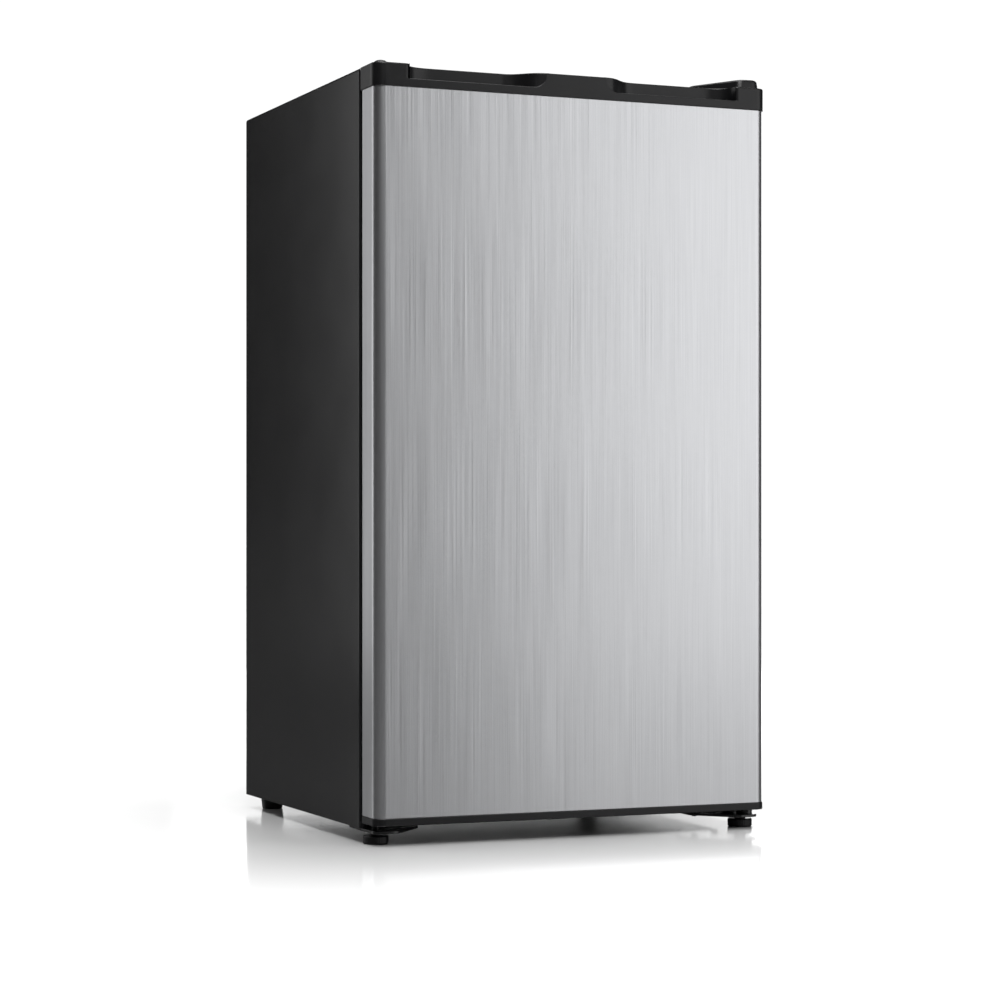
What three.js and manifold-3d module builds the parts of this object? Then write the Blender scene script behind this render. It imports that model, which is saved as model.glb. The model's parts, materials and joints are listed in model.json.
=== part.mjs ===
// A compact one-door refrigerator: painted steel cabinet, brushed steel door with a black
// grip cap, white plastic inside, and a compressor bay low at the back.
// Millimetres, +Z up. The front looks along -Y, the door hinges on the +X side, and the
// origin is on the floor, in the middle of the overall width and depth.

import * as THREE from "three";
import { mergeVertices } from "three/addons/utils/BufferGeometryUtils.js";
import Module from "manifold-3d";

const wasm = await Module();
wasm.setup();

// ---------------------------------------------------------------- driving dimensions

const WIDTH = 472; // cabinet and door caps, side to side
const CABINET_DEPTH = 405; // front flange to back
const CABINET_HEIGHT = 821; // painted shell alone
const FOOT_HEIGHT = 16; // floor to the underside of the cabinet
const DOOR_THICKNESS = 42; // steel front to the back edge of its sides
const DOOR_GAP = 5; // filled by the gasket when the door is shut
const CAP_PROUD = 1.5; // how far the plastic caps stand out past the steel
const FIT = 0.3; // clearance between pieces that touch

const SHELL = 1; // steel sheet of the cabinet
const SHELL_BEND = 4; // outer bend radius of the shell's top corners
const REAR_FLANGE = 14; // width of the shell's rear return
const WALL_SIDE = 34; // outside of the cabinet to the outside of the liner
const WALL_TOP = 48;
const WALL_BOTTOM = 40;
const WALL_BACK = 42;
const WALL_BAY = 34; // around the compressor bay
const LINER = 2; // liner sheet
const LINER_CORNER = 15; // radius of the cabin's corners

const CONDENSER_R = 2.4; // condenser tube radius
const CONDENSER_SPAN = 360; // left to right
const CONDENSER_PASSES = 5;
const CONDENSER_MARGIN = 60; // coil to the bay's ceiling and to the top

const SKIN = 0.8; // stainless sheet of the door
const SKIN_CORNER = 12; // outer radius of the door's front corners
const SKIN_RETURN = 10; // rear return of the door's sides
const CAP_HEIGHT = 25; // grip cap above the steel
const BOTTOM_CAP_HEIGHT = 8;
const DOOR_BOTTOM_ABOVE_CABINET = 14; // steel edge above the underside of the cabinet
const CAP_BELOW_TOP = 0.6; // grip cap under the level of the cabinet top
const CAP_REAR_GAP = 1; // grip cap to the cabinet's front
const TURNING_CLEARANCE = 0.4; // cap's hinge corner to the cabinet as the door turns

const GRIP_INNER = 34; // half width of the bridge between the two grips
const GRIP_OUTER = 196; // outer end of each grip
const GRIP_SWEEP_IN = 46; // the back wall's run-out towards the bridge
const GRIP_SWEEP_OUT = 31; // and towards the outer end
const GRIP_DEPTH = 23; // front of the cap to the back of the grip
const GRIP_LIP = 4; // thickness of the lip that the fingers pull
const GRIP_LIP_HEIGHT = 9; // lip above the steel edge
const GRIP_BELOW_EDGE = 9; // grip floor below the steel edge
const GRIP_WALL = 3;
const GRIP_ROUND = 18; // radius of each grip's lower inner corner

const HINGE_IN = 15; // hinge axis to the side of the door
const PIN_R = 4;
const PIN_PLAY = 0.3;
const HINGE_PLATE = 3;
const FOOT_R = 14;
const STUD_R = 4;
const FOOT_BEHIND_PIN = 15;

const DYKE_OUT = 25; // door liner's raised frame behind the steel's edge
const DYKE_HALF = 190; // half width outside the raised frame
const DYKE_WALL = 14;
const DYKE_END = 45; // raised frame to the door's top and bottom edges
const DOOR_RECESS = 14; // panel between the dykes, in front of the steel's edge
const RACK_DEPTH_BEHIND_EDGE = 70;
const RACK_WALL = 2.5;
const RACK_CLEAR = 6.5; // rack end to dyke
const UPPER_RACK_HEIGHT = 62;
const MIDDLE_RACK_HEIGHT = 72;
const BOTTLE_RACK_HEIGHT = 105;
const UPPER_RACK_ROOM = 100; // above the upper rack, under the dyke
const BOTTLE_RACK_LIFT = 9; // above the lower dyke
const RACK_EAR_LEVEL = 20; // underside of a rack's ears above its bottom

const GASKET_WIDE = 12;
const GASKET_EDGE = 6; // gasket to the top and bottom edges of the steel
const GASKET_INSIDE_AXIS = 3; // gasket to the hinge axis, so that it lifts straight off
const MOUTH_LIP = 6; // least width of the liner's lip, between the cabin and the mouth

const CRISPER_COVER_ABOVE_HUMP = 42;
const SHELF_PITCH = 40; // between the shelf ribs on the side walls
const SHELF_TO_CONTROL = 40; // highest shelf to the control box
const SHELF_RIB_OUT = 12;
const SHELF_RIB_HIGH = 8;
const SHELF_GLASS = 4;
const SHELF_SIDE_CLEAR = 4;
const SHELF_TRIM_HIGH = 12;
const SHELF_TRIM_DEEP = 10;
const SHELF_FRONT = 79; // shelf trims behind the door's steel edge
const DRIP_TRAY_HEIGHT = 24;
const DRIP_TRAY_DROP = 12; // tray's rim to the ice box
const CONTROL_DROP = 16; // control box to the drip tray
const CONTROL_HEIGHT = 64;
const CONTROL_OUT = 38; // control box out of the side wall
const CONTROL_FRONT = 118; // behind the cabinet front
const CONTROL_LENGTH = 90;
const DIAL_END = 34; // of the control box's length, in front of the lamp
const SWITCH_BELOW_TRAY = 21; // clear of the tray and of the ice box flap as they come out

const FREEZER_HEIGHT = 110;
const FREEZER_CEILING = 9; // ice box to the cabin's ceiling
const FREEZER_HALF = 186;
const FREEZER_FRONT = 108; // frame's back, behind the cabinet front
const FREEZER_LENGTH = 220;
const EVAPORATOR_SHEET = 3;
const FLAP_THICK = 8;

const COMPRESSOR_R = 62;
const COMPRESSOR_HEIGHT = 131;
const COMPRESSOR_X = 70;
const COMPRESSOR_ROOM = 12; // to the bay's front and to the back of the fridge
const COMPRESSOR_LIFT = 13; // base plate above the pan
const GROMMET_OUT = 22; // mounts outside the pot, side to side
const GROMMET_Y = 42;
const WATER_TRAY_HEIGHT = 18;
const WATER_TRAY_ROOM = 2.4; // under the bay's ceiling
const WATER_TRAY_HALF = [80, 50];

// ---------------------------------------------------------------- places worked out from them

const HALF = WIDTH / 2;
const TOTAL_DEPTH = CAP_PROUD + DOOR_THICKNESS + DOOR_GAP + CABINET_DEPTH;
const yCapFront = -TOTAL_DEPTH / 2;
const yDoorFront = yCapFront + CAP_PROUD;
const yDoorRear = yDoorFront + DOOR_THICKNESS;
const yFront = yDoorRear + DOOR_GAP; // cabinet front
const yBack = yFront + CABINET_DEPTH;
const zBottom = FOOT_HEIGHT;
const zTop = FOOT_HEIGHT + CABINET_HEIGHT;

const PAN_SHEET = 2;
const MOUNT_PLATE = 3;
const zPan = zBottom + PAN_SHEET;
const zMountPlate = zPan + COMPRESSOR_LIFT;
const zPot = zMountPlate + MOUNT_PLATE + FIT;
const zWaterTray = zPot + COMPRESSOR_HEIGHT + FIT;
const yBay = yBack - 2 * (COMPRESSOR_R + COMPRESSOR_ROOM);
const zBay = zWaterTray + WATER_TRAY_HEIGHT + WATER_TRAY_ROOM;
const compressorY = yBack - COMPRESSOR_ROOM - COMPRESSOR_R;
const grommetX = COMPRESSOR_R + GROMMET_OUT;

const zSkinBottom = zBottom + DOOR_BOTTOM_ABOVE_CABINET;
const zCapTop = zTop - CAP_BELOW_TOP;
const zSkinTop = zCapTop - CAP_HEIGHT;
const skinHalf = HALF - CAP_PROUD;
const hinge = { x: HALF - HINGE_IN, y: yDoorFront + DOOR_THICKNESS / 2 };

// the mouth of the cabin: the gasket lies on the steel just outside it
const gasket = {
  half: hinge.x - GASKET_INSIDE_AXIS,
  z0: zSkinBottom + GASKET_EDGE,
  z1: zSkinTop - GASKET_EDGE,
};
const mouth = { half: gasket.half - GASKET_WIDE, top: gasket.z1 - GASKET_WIDE };

const cabin = {
  half: Math.min(HALF - WALL_SIDE - LINER, mouth.half - MOUTH_LIP),
  top: Math.min(zTop - WALL_TOP - LINER, mouth.top - MOUTH_LIP),
  floor: zBottom + WALL_BOTTOM + LINER,
  back: yBack - WALL_BACK - LINER,
  humpY: yBay - WALL_BAY - LINER,
  humpZ: zBay + WALL_BAY + LINER,
};

const footY = hinge.y + FOOT_BEHIND_PIN;
const yRecess = yDoorRear - DOOR_RECESS;
const dykeInner = DYKE_HALF - DYKE_WALL;
const rackHalf = dykeInner - RACK_CLEAR;
const yShelfFront = yDoorRear + SHELF_FRONT;
const shelfHalf = cabin.half - SHELF_SIDE_CLEAR;

const freezer = {
  y0: yFront + FREEZER_FRONT,
  z0: cabin.top - FREEZER_CEILING - FREEZER_HEIGHT,
  z1: cabin.top - FREEZER_CEILING,
};
const zDripTray = freezer.z0 - DRIP_TRAY_DROP - DRIP_TRAY_HEIGHT;
const control = {
  x0: cabin.half - CONTROL_OUT,
  y0: yFront + CONTROL_FRONT,
  y1: yFront + CONTROL_FRONT + CONTROL_LENGTH,
  z0: zDripTray - CONTROL_DROP - CONTROL_HEIGHT,
  z1: zDripTray - CONTROL_DROP,
};

const crisperCoverLevel = cabin.humpZ + CRISPER_COVER_ABOVE_HUMP;
const shelfRoom = control.z0 - SHELF_TO_CONTROL - crisperCoverLevel;
const shelfSteps = Math.floor(shelfRoom / SHELF_PITCH);
const shelfLevel = (step) => crisperCoverLevel + step * SHELF_PITCH;

const zDyke = [zSkinBottom + DYKE_END, zSkinTop - DYKE_END];
const zRecess = [zDyke[0] + DYKE_WALL, zDyke[1] - DYKE_WALL];
const bottleRackBottom = zRecess[0] + BOTTLE_RACK_LIFT;
const upperRackBottom = zRecess[1] - UPPER_RACK_ROOM - UPPER_RACK_HEIGHT;
const middleRackCentre = (bottleRackBottom + BOTTLE_RACK_HEIGHT + upperRackBottom) / 2;
const racks = [
  { name: "upper_door_rack", bottom: upperRackBottom, height: UPPER_RACK_HEIGHT },
  {
    name: "middle_door_rack",
    bottom: middleRackCentre - MIDDLE_RACK_HEIGHT / 2,
    height: MIDDLE_RACK_HEIGHT,
  },
  { name: "bottle_rack", bottom: bottleRackBottom, height: BOTTLE_RACK_HEIGHT },
];

// ---------------------------------------------------------------- finishes

const finish = (color, roughness, metalness, more = {}) =>
  new THREE.MeshStandardMaterial({ color, roughness, metalness, ...more });

const finishes = {
  blackPaint: finish(0x242424, 0.38, 0.35),
  brushedSteel: finish(0xb4b5b7, 0.34, 1),
  blackPlastic: finish(0x1c1c1c, 0.42, 0),
  whitePlastic: finish(0xf1f1ee, 0.35, 0),
  rubber: finish(0x2b2b2b, 0.8, 0),
  gasket: finish(0x3a3a3a, 0.7, 0),
  foam: finish(0xe8d9a8, 0.95, 0),
  zinc: finish(0xa9abad, 0.42, 0.9),
  aluminium: finish(0xc9cbcd, 0.35, 0.9),
  copper: finish(0xb46a42, 0.32, 1),
  glass: finish(0xdff0ea, 0.05, 0, { transparent: true, opacity: 0.35 }),
  clearPlastic: finish(0xe6eef2, 0.12, 0, { transparent: true, opacity: 0.45 }),
  frosted: finish(0xf2f4f4, 0.5, 0, { transparent: true, opacity: 0.7 }),
  compressorPaint: finish(0x151515, 0.4, 0.3),
};

// ---------------------------------------------------------------- shape helpers

// A closed outline from corners [a, b, radius], with an arc at each corner that has a radius.
function outline(corners) {
  const shape = new THREE.Shape();
  const count = corners.length;
  corners.forEach(([a, b, radius = 0], i) => {
    const here = new THREE.Vector2(a, b);
    const previous = new THREE.Vector2(...corners[(i + count - 1) % count]);
    const next = new THREE.Vector2(...corners[(i + 1) % count]);
    const back = previous.sub(here).normalize();
    const ahead = next.sub(here).normalize();
    if (radius <= 0) {
      if (i) shape.lineTo(a, b);
      else shape.moveTo(a, b);
      return;
    }
    const half = Math.acos(THREE.MathUtils.clamp(back.dot(ahead), -1, 1)) / 2;
    const setback = radius / Math.tan(half);
    const middle = back.clone().add(ahead).normalize();
    const centre = here.clone().addScaledVector(middle, radius / Math.sin(half));
    const from = here.clone().addScaledVector(back, setback);
    const to = here.clone().addScaledVector(ahead, setback);
    if (i) shape.lineTo(from.x, from.y);
    else shape.moveTo(from.x, from.y);
    const start = Math.atan2(from.y - centre.y, from.x - centre.x);
    const end = Math.atan2(to.y - centre.y, to.x - centre.x);
    shape.absarc(centre.x, centre.y, radius, start, end, back.cross(ahead) > 0);
  });
  shape.closePath();
  return shape;
}

const rectangle = (a0, a1, b0, b1, r = 0) =>
  outline([
    [a0, b0, r],
    [a1, b0, r],
    [a1, b1, r],
    [a0, b1, r],
  ]);

// Extrusions of an outline: (x, y) up from z0 to z1, (y, z) from x0 to x1, (x, z) from y0 to y1.
function alongZ(shape, z0, z1, curveSegments = 2) {
  const made = new THREE.ExtrudeGeometry(shape, { depth: z1 - z0, bevelEnabled: false, curveSegments });
  return made.translate(0, 0, z0);
}

function alongX(shape, x0, x1, curveSegments = 2) {
  const made = new THREE.ExtrudeGeometry(shape, { depth: x1 - x0, bevelEnabled: false, curveSegments });
  const turn = new THREE.Matrix4().makeBasis(
    new THREE.Vector3(0, 1, 0),
    new THREE.Vector3(0, 0, 1),
    new THREE.Vector3(1, 0, 0),
  );
  return made.applyMatrix4(turn).translate(x0, 0, 0);
}

function alongY(shape, y0, y1, curveSegments = 2) {
  const made = new THREE.ExtrudeGeometry(shape, { depth: y1 - y0, bevelEnabled: false, curveSegments });
  return made.rotateX(Math.PI / 2).translate(0, y1, 0);
}

function block(x0, x1, y0, y1, z0, z1) {
  const made = new THREE.BoxGeometry(x1 - x0, y1 - y0, z1 - z0);
  return made.translate((x0 + x1) / 2, (y0 + y1) / 2, (z0 + z1) / 2);
}

// A cylinder on +Z from z0 to z1, centred on (x, y).
function rod(x, y, z0, z1, r, sides = 16) {
  const made = new THREE.CylinderGeometry(r, r, z1 - z0, sides);
  return made.rotateX(Math.PI / 2).translate(x, y, (z0 + z1) / 2);
}

// A turned piece about +Z from [radius, z] pairs that start and end on the axis, bottom first.
function turned(pairs, sides = 20) {
  const profile = pairs.map(([r, z]) => new THREE.Vector2(r, z));
  return new THREE.LatheGeometry(profile, sides).rotateX(Math.PI / 2);
}

// A round tube along a smooth curve through the points.
function tube(points, radius, steps, sides = 8) {
  const path = new THREE.CatmullRomCurve3(
    points.map((p) => new THREE.Vector3(...p)),
    false,
    "centripetal",
  );
  const section = new THREE.Shape();
  for (let i = 0; i < sides; i++) {
    const turn = (2 * Math.PI * i) / sides;
    section[i ? "lineTo" : "moveTo"](radius * Math.cos(turn), radius * Math.sin(turn));
  }
  return new THREE.ExtrudeGeometry(section, { steps, extrudePath: path, bevelEnabled: false });
}

function solidOf(geometry) {
  const bare = new THREE.BufferGeometry();
  bare.setAttribute("position", geometry.getAttribute("position"));
  if (geometry.index) bare.setIndex(geometry.index);
  const merged = mergeVertices(bare, 1e-4);
  return new wasm.Manifold(
    new wasm.Mesh({
      numProp: 3,
      vertProperties: new Float32Array(merged.attributes.position.array),
      triVerts: new Uint32Array(merged.index.array),
    }),
  );
}

function geometryOf(solid) {
  const { numProp, vertProperties, triVerts } = solid.getMesh();
  const points = new Float32Array((vertProperties.length / numProp) * 3);
  for (let i = 0; i < points.length / 3; i++) {
    points.set(vertProperties.subarray(i * numProp, i * numProp + 3), i * 3);
  }
  const made = new THREE.BufferGeometry();
  made.setAttribute("position", new THREE.BufferAttribute(points, 3));
  made.setIndex(new THREE.BufferAttribute(new Uint32Array(triVerts), 1));
  const flat = made.toNonIndexed();
  flat.computeVertexNormals();
  return flat;
}

// Joins the first list and cuts the second list out of it.
function joined(parts, cuts = []) {
  let solid = solidOf(parts[0]);
  for (const part of parts.slice(1)) solid = solid.add(solidOf(part));
  for (const cut of cuts) solid = solid.subtract(solidOf(cut));
  return geometryOf(solid);
}

const both = (make) => [make(-1), make(1)];

// The extent lo..hi on one side of the middle plane: side 1 keeps it, side -1 mirrors it.
const span = (side, lo, hi) => (side > 0 ? [lo, hi] : [-hi, -lo]);

// ---------------------------------------------------------------- scene

const fridge = new THREE.Group();
const cabinet = new THREE.Group();
const door = new THREE.Group();
const machinery = new THREE.Group();
const cabinFittings = new THREE.Group();
fridge.add(cabinet, door);
cabinet.add(machinery, cabinFittings);

function place(group, name, geometry, material, position = [0, 0, 0]) {
  const mesh = new THREE.Mesh(geometry, material);
  mesh.name = name;
  mesh.position.set(...position);
  group.add(mesh);
}

// ---------------------------------------------------------------- cabinet shell and panels

const hingeScrews = [
  [hinge.x - 38, yFront + 22],
  [hinge.x - 8, yFront + 40],
];
const footScrews = (side) => [
  [side * (hinge.x - 42), yFront + 20],
  [side * (hinge.x - 8), yFront + 36],
];
const SCREW_R = 2.1;
const SCREW_HOLE_R = 2.6;

// The cabinet's arch from outside to an inner half width and top: an upside-down U.
function archOutline(innerHalf, innerTop, innerBend, foot) {
  return outline([
    [-HALF, foot],
    [-HALF, zTop, SHELL_BEND],
    [HALF, zTop, SHELL_BEND],
    [HALF, foot],
    [innerHalf, foot],
    [innerHalf, innerTop, innerBend],
    [-innerHalf, innerTop, innerBend],
    [-innerHalf, foot],
  ]);
}

function outerShell() {
  const wallArch = archOutline(HALF - SHELL, zTop - SHELL, SHELL_BEND - SHELL, zBottom);
  const frontArch = archOutline(mouth.half, mouth.top, 0, zBottom + SHELL);
  const rearArch = archOutline(HALF - REAR_FLANGE, zTop - REAR_FLANGE, 0, zBottom + SHELL);
  const walls = alongY(wallArch, yFront, yBack);
  const frontReturn = alongY(frontArch, yFront, yFront + SHELL);
  const rearReturn = alongY(rearArch, yBack - SHELL, yBack);
  const holes = hingeScrews.map(([x, y]) => rod(x, y, zTop - 5, zTop + 5, SCREW_HOLE_R, 10));
  return joined([walls, frontReturn, rearReturn], holes);
}

function backPanel() {
  const y1 = yBack - SHELL - FIT;
  const half = HALF - SHELL - FIT;
  const bend = SHELL_BEND - SHELL;
  const z0 = zBay + SHELL + FIT;
  const z1 = zTop - SHELL - FIT;
  const sheet = alongY(
    outline([
      [-half, z0],
      [half, z0],
      [half, z1, bend],
      [-half, z1, bend],
    ]),
    y1 - SHELL,
    y1,
  );
  const ribs = [-1, 0, 1].map((i) =>
    alongY(rectangle(i * 125 - 9, i * 125 + 9, zBay + 90, zTop - 70, 8), y1 - SHELL / 2, y1 + SHELL),
  );
  return joined([sheet, ...ribs]);
}

// Sheet under the insulation: flat below the cabin, up the bay's front and over its ceiling.
function basePanel() {
  const half = HALF - SHELL - FIT;
  const front = yFront + SHELL + FIT;
  const rear = yBack - SHELL - FIT;
  const sheet = alongX(
    outline([
      [front, zBottom],
      [yBay, zBottom],
      [yBay, zBay],
      [rear, zBay],
      [rear, zBay + SHELL],
      [yBay - SHELL, zBay + SHELL],
      [yBay - SHELL, zBottom + SHELL],
      [front, zBottom + SHELL],
    ]),
    -half,
    half,
  );
  const screws = both((side) => footScrews(side)).flat();
  return joined([sheet], screws.map(([x, y]) => rod(x, y, zBottom - 5, zBottom + 5, SCREW_HOLE_R, 10)));
}

const CROSSBAR_SHEET = 1.5;
const CROSSBAR_DEPTH = 48;

// Sill under the cabin's mouth: the gasket seals on its face, the foot brackets screw to its foot.
function frontCrossbar() {
  const half = HALF - SHELL - FIT;
  const y0 = yFront;
  const z0 = zBottom + SHELL + FIT;
  const z1 = cabin.floor - LINER - FIT;
  const face = block(-half, half, y0, y0 + CROSSBAR_SHEET, z0, z1);
  const foot = block(-half, half, y0, y0 + CROSSBAR_DEPTH, z0, z0 + CROSSBAR_SHEET);
  // the shell's front return crosses the sill's ends
  const notches = both((side) => {
    const [x0, x1] = span(side, mouth.half - FIT, HALF + 1);
    return block(x0, x1, y0 - 1, y0 + SHELL + FIT, z0 - 1, z1 + 1);
  });
  const screws = both((side) => footScrews(side)).flat();
  const holes = screws.map(([x, y]) => rod(x, y, z0 - 2, z0 + 5, SCREW_HOLE_R, 10));
  return joined([face, foot], [...notches, ...holes]);
}

// ---------------------------------------------------------------- insulation and liner

// The cabin's side view, grown outwards by `grow`, running out through the mouth to y = front.
function cabinOutline(grow, front) {
  const r = LINER_CORNER;
  return outline([
    [front, cabin.floor - grow],
    [cabin.humpY + grow, cabin.floor - grow, r],
    [cabin.humpY + grow, cabin.humpZ - grow, r],
    [cabin.back + grow, cabin.humpZ - grow, r],
    [cabin.back + grow, cabin.top + grow, r],
    [front, cabin.top + grow],
  ]);
}

function cabinetFoam() {
  const half = HALF - SHELL - FIT;
  const front = yFront + SHELL + FIT;
  const rear = yBack - 2 * SHELL - 2 * FIT - 2 * CONDENSER_R - 1.5;
  const floor = zBottom + SHELL + FIT + CROSSBAR_SHEET + FIT;
  const body = alongX(
    outline([
      [front + CROSSBAR_SHEET, floor],
      [yBay - SHELL - FIT, floor],
      [yBay - SHELL - FIT, zBay + SHELL + FIT],
      [rear, zBay + SHELL + FIT],
      [rear, zTop - SHELL - FIT],
      [front + CROSSBAR_SHEET, zTop - SHELL - FIT],
    ]),
    -half,
    half,
  );
  const corners = alongY(
    outline([
      [-half, floor - 5],
      [half, floor - 5],
      [half, zTop - SHELL - FIT, SHELL_BEND - SHELL],
      [-half, zTop - SHELL - FIT, SHELL_BEND - SHELL],
    ]),
    yFront - 5,
    yBack + 5,
  );
  const room = cabin.half + LINER + FIT;
  const hollow = alongX(cabinOutline(LINER + FIT, front - 20), -room, room);
  return geometryOf(solidOf(body).intersect(solidOf(corners)).subtract(solidOf(hollow)));
}

function innerLiner() {
  const outside = alongX(cabinOutline(LINER, yFront), -cabin.half - LINER, cabin.half + LINER);
  // the lip meets the edge of the shell's return
  const lipHalf = mouth.half - FIT;
  const lip = alongY(
    rectangle(-lipHalf, lipHalf, cabin.floor - LINER, mouth.top - FIT),
    yFront,
    yFront + LINER - 0.5,
  );
  const inside = alongX(cabinOutline(0, yFront - 20), -cabin.half, cabin.half);
  const levels = [zDripTray];
  for (let step = 0; step <= shelfSteps; step++) levels.push(shelfLevel(step));
  const ribs = both((side) => {
    const [x0, x1] = span(side, cabin.half - SHELF_RIB_OUT, cabin.half + 1);
    return levels.map((level) => {
      const z1 = level - FIT;
      return block(x0, x1, yShelfFront - 10, cabin.back - 20, z1 - SHELF_RIB_HIGH, z1);
    });
  }).flat();
  const shell = solidOf(joined([outside, lip], [inside]));
  return geometryOf(ribs.reduce((solid, rib) => solid.add(solidOf(rib)), shell));
}

// ---------------------------------------------------------------- cold parts

// Serpentine taped inside the back panel.
function condenserCoil() {
  const y = yBack - 2 * SHELL - 2 * FIT - CONDENSER_R - 0.4;
  const pitch = CONDENSER_SPAN / (CONDENSER_PASSES - 1);
  const radius = pitch / 2;
  const low = zBay + CONDENSER_MARGIN + radius;
  const high = zTop - CONDENSER_MARGIN - radius;
  const path = new THREE.CurvePath();
  for (let i = 0; i < CONDENSER_PASSES; i++) {
    const x = -CONDENSER_SPAN / 2 + i * pitch;
    const [from, to] = i % 2 ? [high, low] : [low, high];
    path.add(new THREE.LineCurve3(new THREE.Vector3(x, y, from), new THREE.Vector3(x, y, to)));
    if (i === CONDENSER_PASSES - 1) break;
    const bend = radius * (i % 2 ? -1 : 1) * (4 / 3); // handle length of a half turn
    path.add(
      new THREE.CubicBezierCurve3(
        new THREE.Vector3(x, y, to),
        new THREE.Vector3(x, y, to + bend),
        new THREE.Vector3(x + pitch, y, to + bend),
        new THREE.Vector3(x + pitch, y, to),
      ),
    );
  }
  const section = new THREE.Shape();
  const sides = 6;
  for (let i = 0; i < sides; i++) {
    const turn = (2 * Math.PI * i) / sides;
    section[i ? "lineTo" : "moveTo"](CONDENSER_R * Math.cos(turn), CONDENSER_R * Math.sin(turn));
  }
  return new THREE.ExtrudeGeometry(section, { steps: 80, extrudePath: path, bevelEnabled: false });
}

function evaporatorBox() {
  const t = EVAPORATOR_SHEET;
  const y1 = freezer.y0 + FREEZER_LENGTH;
  const outside = alongY(
    rectangle(-FREEZER_HALF, FREEZER_HALF, freezer.z0, freezer.z1, 10),
    freezer.y0,
    y1,
  );
  const inside = alongY(
    rectangle(-FREEZER_HALF + t, FREEZER_HALF - t, freezer.z0 + t, freezer.z1 - t, 7),
    freezer.y0 - 1,
    y1 - t,
  );
  return joined([outside], [inside]);
}

const FREEZER_FRAME = 6; // depth of the surround

// Plastic surround on the mouth of the ice box.
function freezerFrame() {
  const y1 = freezer.y0 - FIT;
  const z0 = freezer.z0 - 4;
  const z1 = freezer.z1 + 4;
  const border = rectangle(-FREEZER_HALF - 4, FREEZER_HALF + 4, z0, z1, 6);
  const plate = alongY(border, freezer.y0 - FREEZER_FRAME, y1);
  const mouth = alongY(
    rectangle(-FREEZER_HALF + 8, FREEZER_HALF - 8, freezer.z0 + 8, freezer.z1 - 8, 6),
    y1 - 20,
    y1 + 5,
  );
  return joined([plate], [mouth]);
}

const yFlapRear = freezer.y0 - FREEZER_FRAME - FIT;
const flapPivot = { x: FREEZER_HALF - 4, y: yFlapRear - FLAP_THICK / 2 };

// Ice box flap, round along its hinge edge, with a finger scoop at the free edge.
function freezerFlap() {
  const y0 = yFlapRear - FLAP_THICK;
  const z0 = freezer.z0 - 2;
  const z1 = freezer.z1 + 2;
  const r = FLAP_THICK / 2 - 0.05;
  const plate = alongZ(
    outline([
      [-FREEZER_HALF, y0, 2],
      [flapPivot.x + r, y0, r],
      [flapPivot.x + r, yFlapRear, r],
      [-FREEZER_HALF, yFlapRear, 2],
    ]),
    z0,
    z1,
  );
  const scoop = alongY(rectangle(-FREEZER_HALF - 5, -FREEZER_HALF + 12, z0 + 35, z1 - 35, 6), y0 - 1, y0 + 5);
  const border = rectangle(-FREEZER_HALF + 22, FREEZER_HALF - 22, z0 + 12, z1 - 12, 8);
  const inset = alongY(border, y0 - 1, y0 + 1.2);
  return joined([plate], [scoop, inset]);
}

function dripTray() {
  const y0 = yShelfFront + 4;
  const y1 = cabin.back - 70;
  const half = cabin.half - SHELF_SIDE_CLEAR;
  const z1 = zDripTray + DRIP_TRAY_HEIGHT;
  const body = alongZ(rectangle(-half, half, y0, y1, 8), zDripTray, z1);
  const well = alongZ(rectangle(-half + 2, half - 2, y0 + 2, y1 - 2, 6), zDripTray + 2, z1 + 2);
  return joined([body], [well]);
}

// ---------------------------------------------------------------- control box, lamp and door switch

const DIAL_R = 15;
const dialX = control.x0 + CONTROL_OUT / 2;
const dialZ = (control.z0 + control.z1) / 2;

function thermostatHousing() {
  const x1 = cabin.half - FIT;
  const { x0, y0, y1, z0, z1 } = control;
  const body = alongX(rectangle(y0, y1, z0, z1, 6), x0, x1);
  const lampRoom = block(x0 - 1, x1 - 3, y0 + DIAL_END, y1 - 3, z0 + 3, z1 - 3);
  const shaft = new THREE.CylinderGeometry(3.4, 3.4, 30, 12).translate(dialX, y0, dialZ);
  return joined([body], [lampRoom, shaft]);
}

// Ribbed knob on a short shaft, turning about Y.
function thermostatDial() {
  const ridges = 12;
  const rim = new THREE.Shape();
  for (let i = 0; i < ridges * 2; i++) {
    const turn = (Math.PI * i) / ridges;
    const r = DIAL_R - (i % 2 ? 0.9 : 0);
    rim[i ? "lineTo" : "moveTo"](r * Math.cos(turn), r * Math.sin(turn));
  }
  const y1 = control.y0 - 0.6;
  const knob = alongY(rim, y1 - 9, y1).translate(dialX, 0, dialZ);
  const shaft = new THREE.CylinderGeometry(3, 3, 13, 12).translate(dialX, y1 + 6, dialZ);
  const mark = block(dialX - 1, dialX + 1, y1 - 10.2, y1 - 8, dialZ, dialZ + DIAL_R - 2);
  return joined([knob, shaft, mark]);
}

function lampBulb() {
  const y = (control.y0 + DIAL_END + control.y1 - 3) / 2;
  const pairs = [
    [0, -20],
    [6, -20],
    [6, -8],
    [8, -5],
    [10.5, 3],
    [9, 10],
    [5, 14],
    [0, 15.5],
  ];
  return turned(pairs, 12).rotateX(Math.PI / 2).translate(dialX, y, dialZ);
}

function lampCover() {
  const { x0, y0, y1, z0, z1 } = control;
  const lens = alongX(rectangle(y0 + DIAL_END - 2, y1 - 1, z0 + 1, z1 - 1, 4), x0 - 8, x0 - FIT);
  const room = block(x0 - 6, x0 + 1, y0 + DIAL_END, y1 - 3, z0 + 3, z1 - 3);
  return joined([lens], [room]);
}

const PLUNGER_R = 3.5;
const PLUNGER_LONG = 24;
const plunger = {
  x: DYKE_HALF - DYKE_WALL / 2,
  y: yDoorRear + DYKE_OUT + FIT,
  z: zDripTray - SWITCH_BELOW_TRAY,
};

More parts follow.
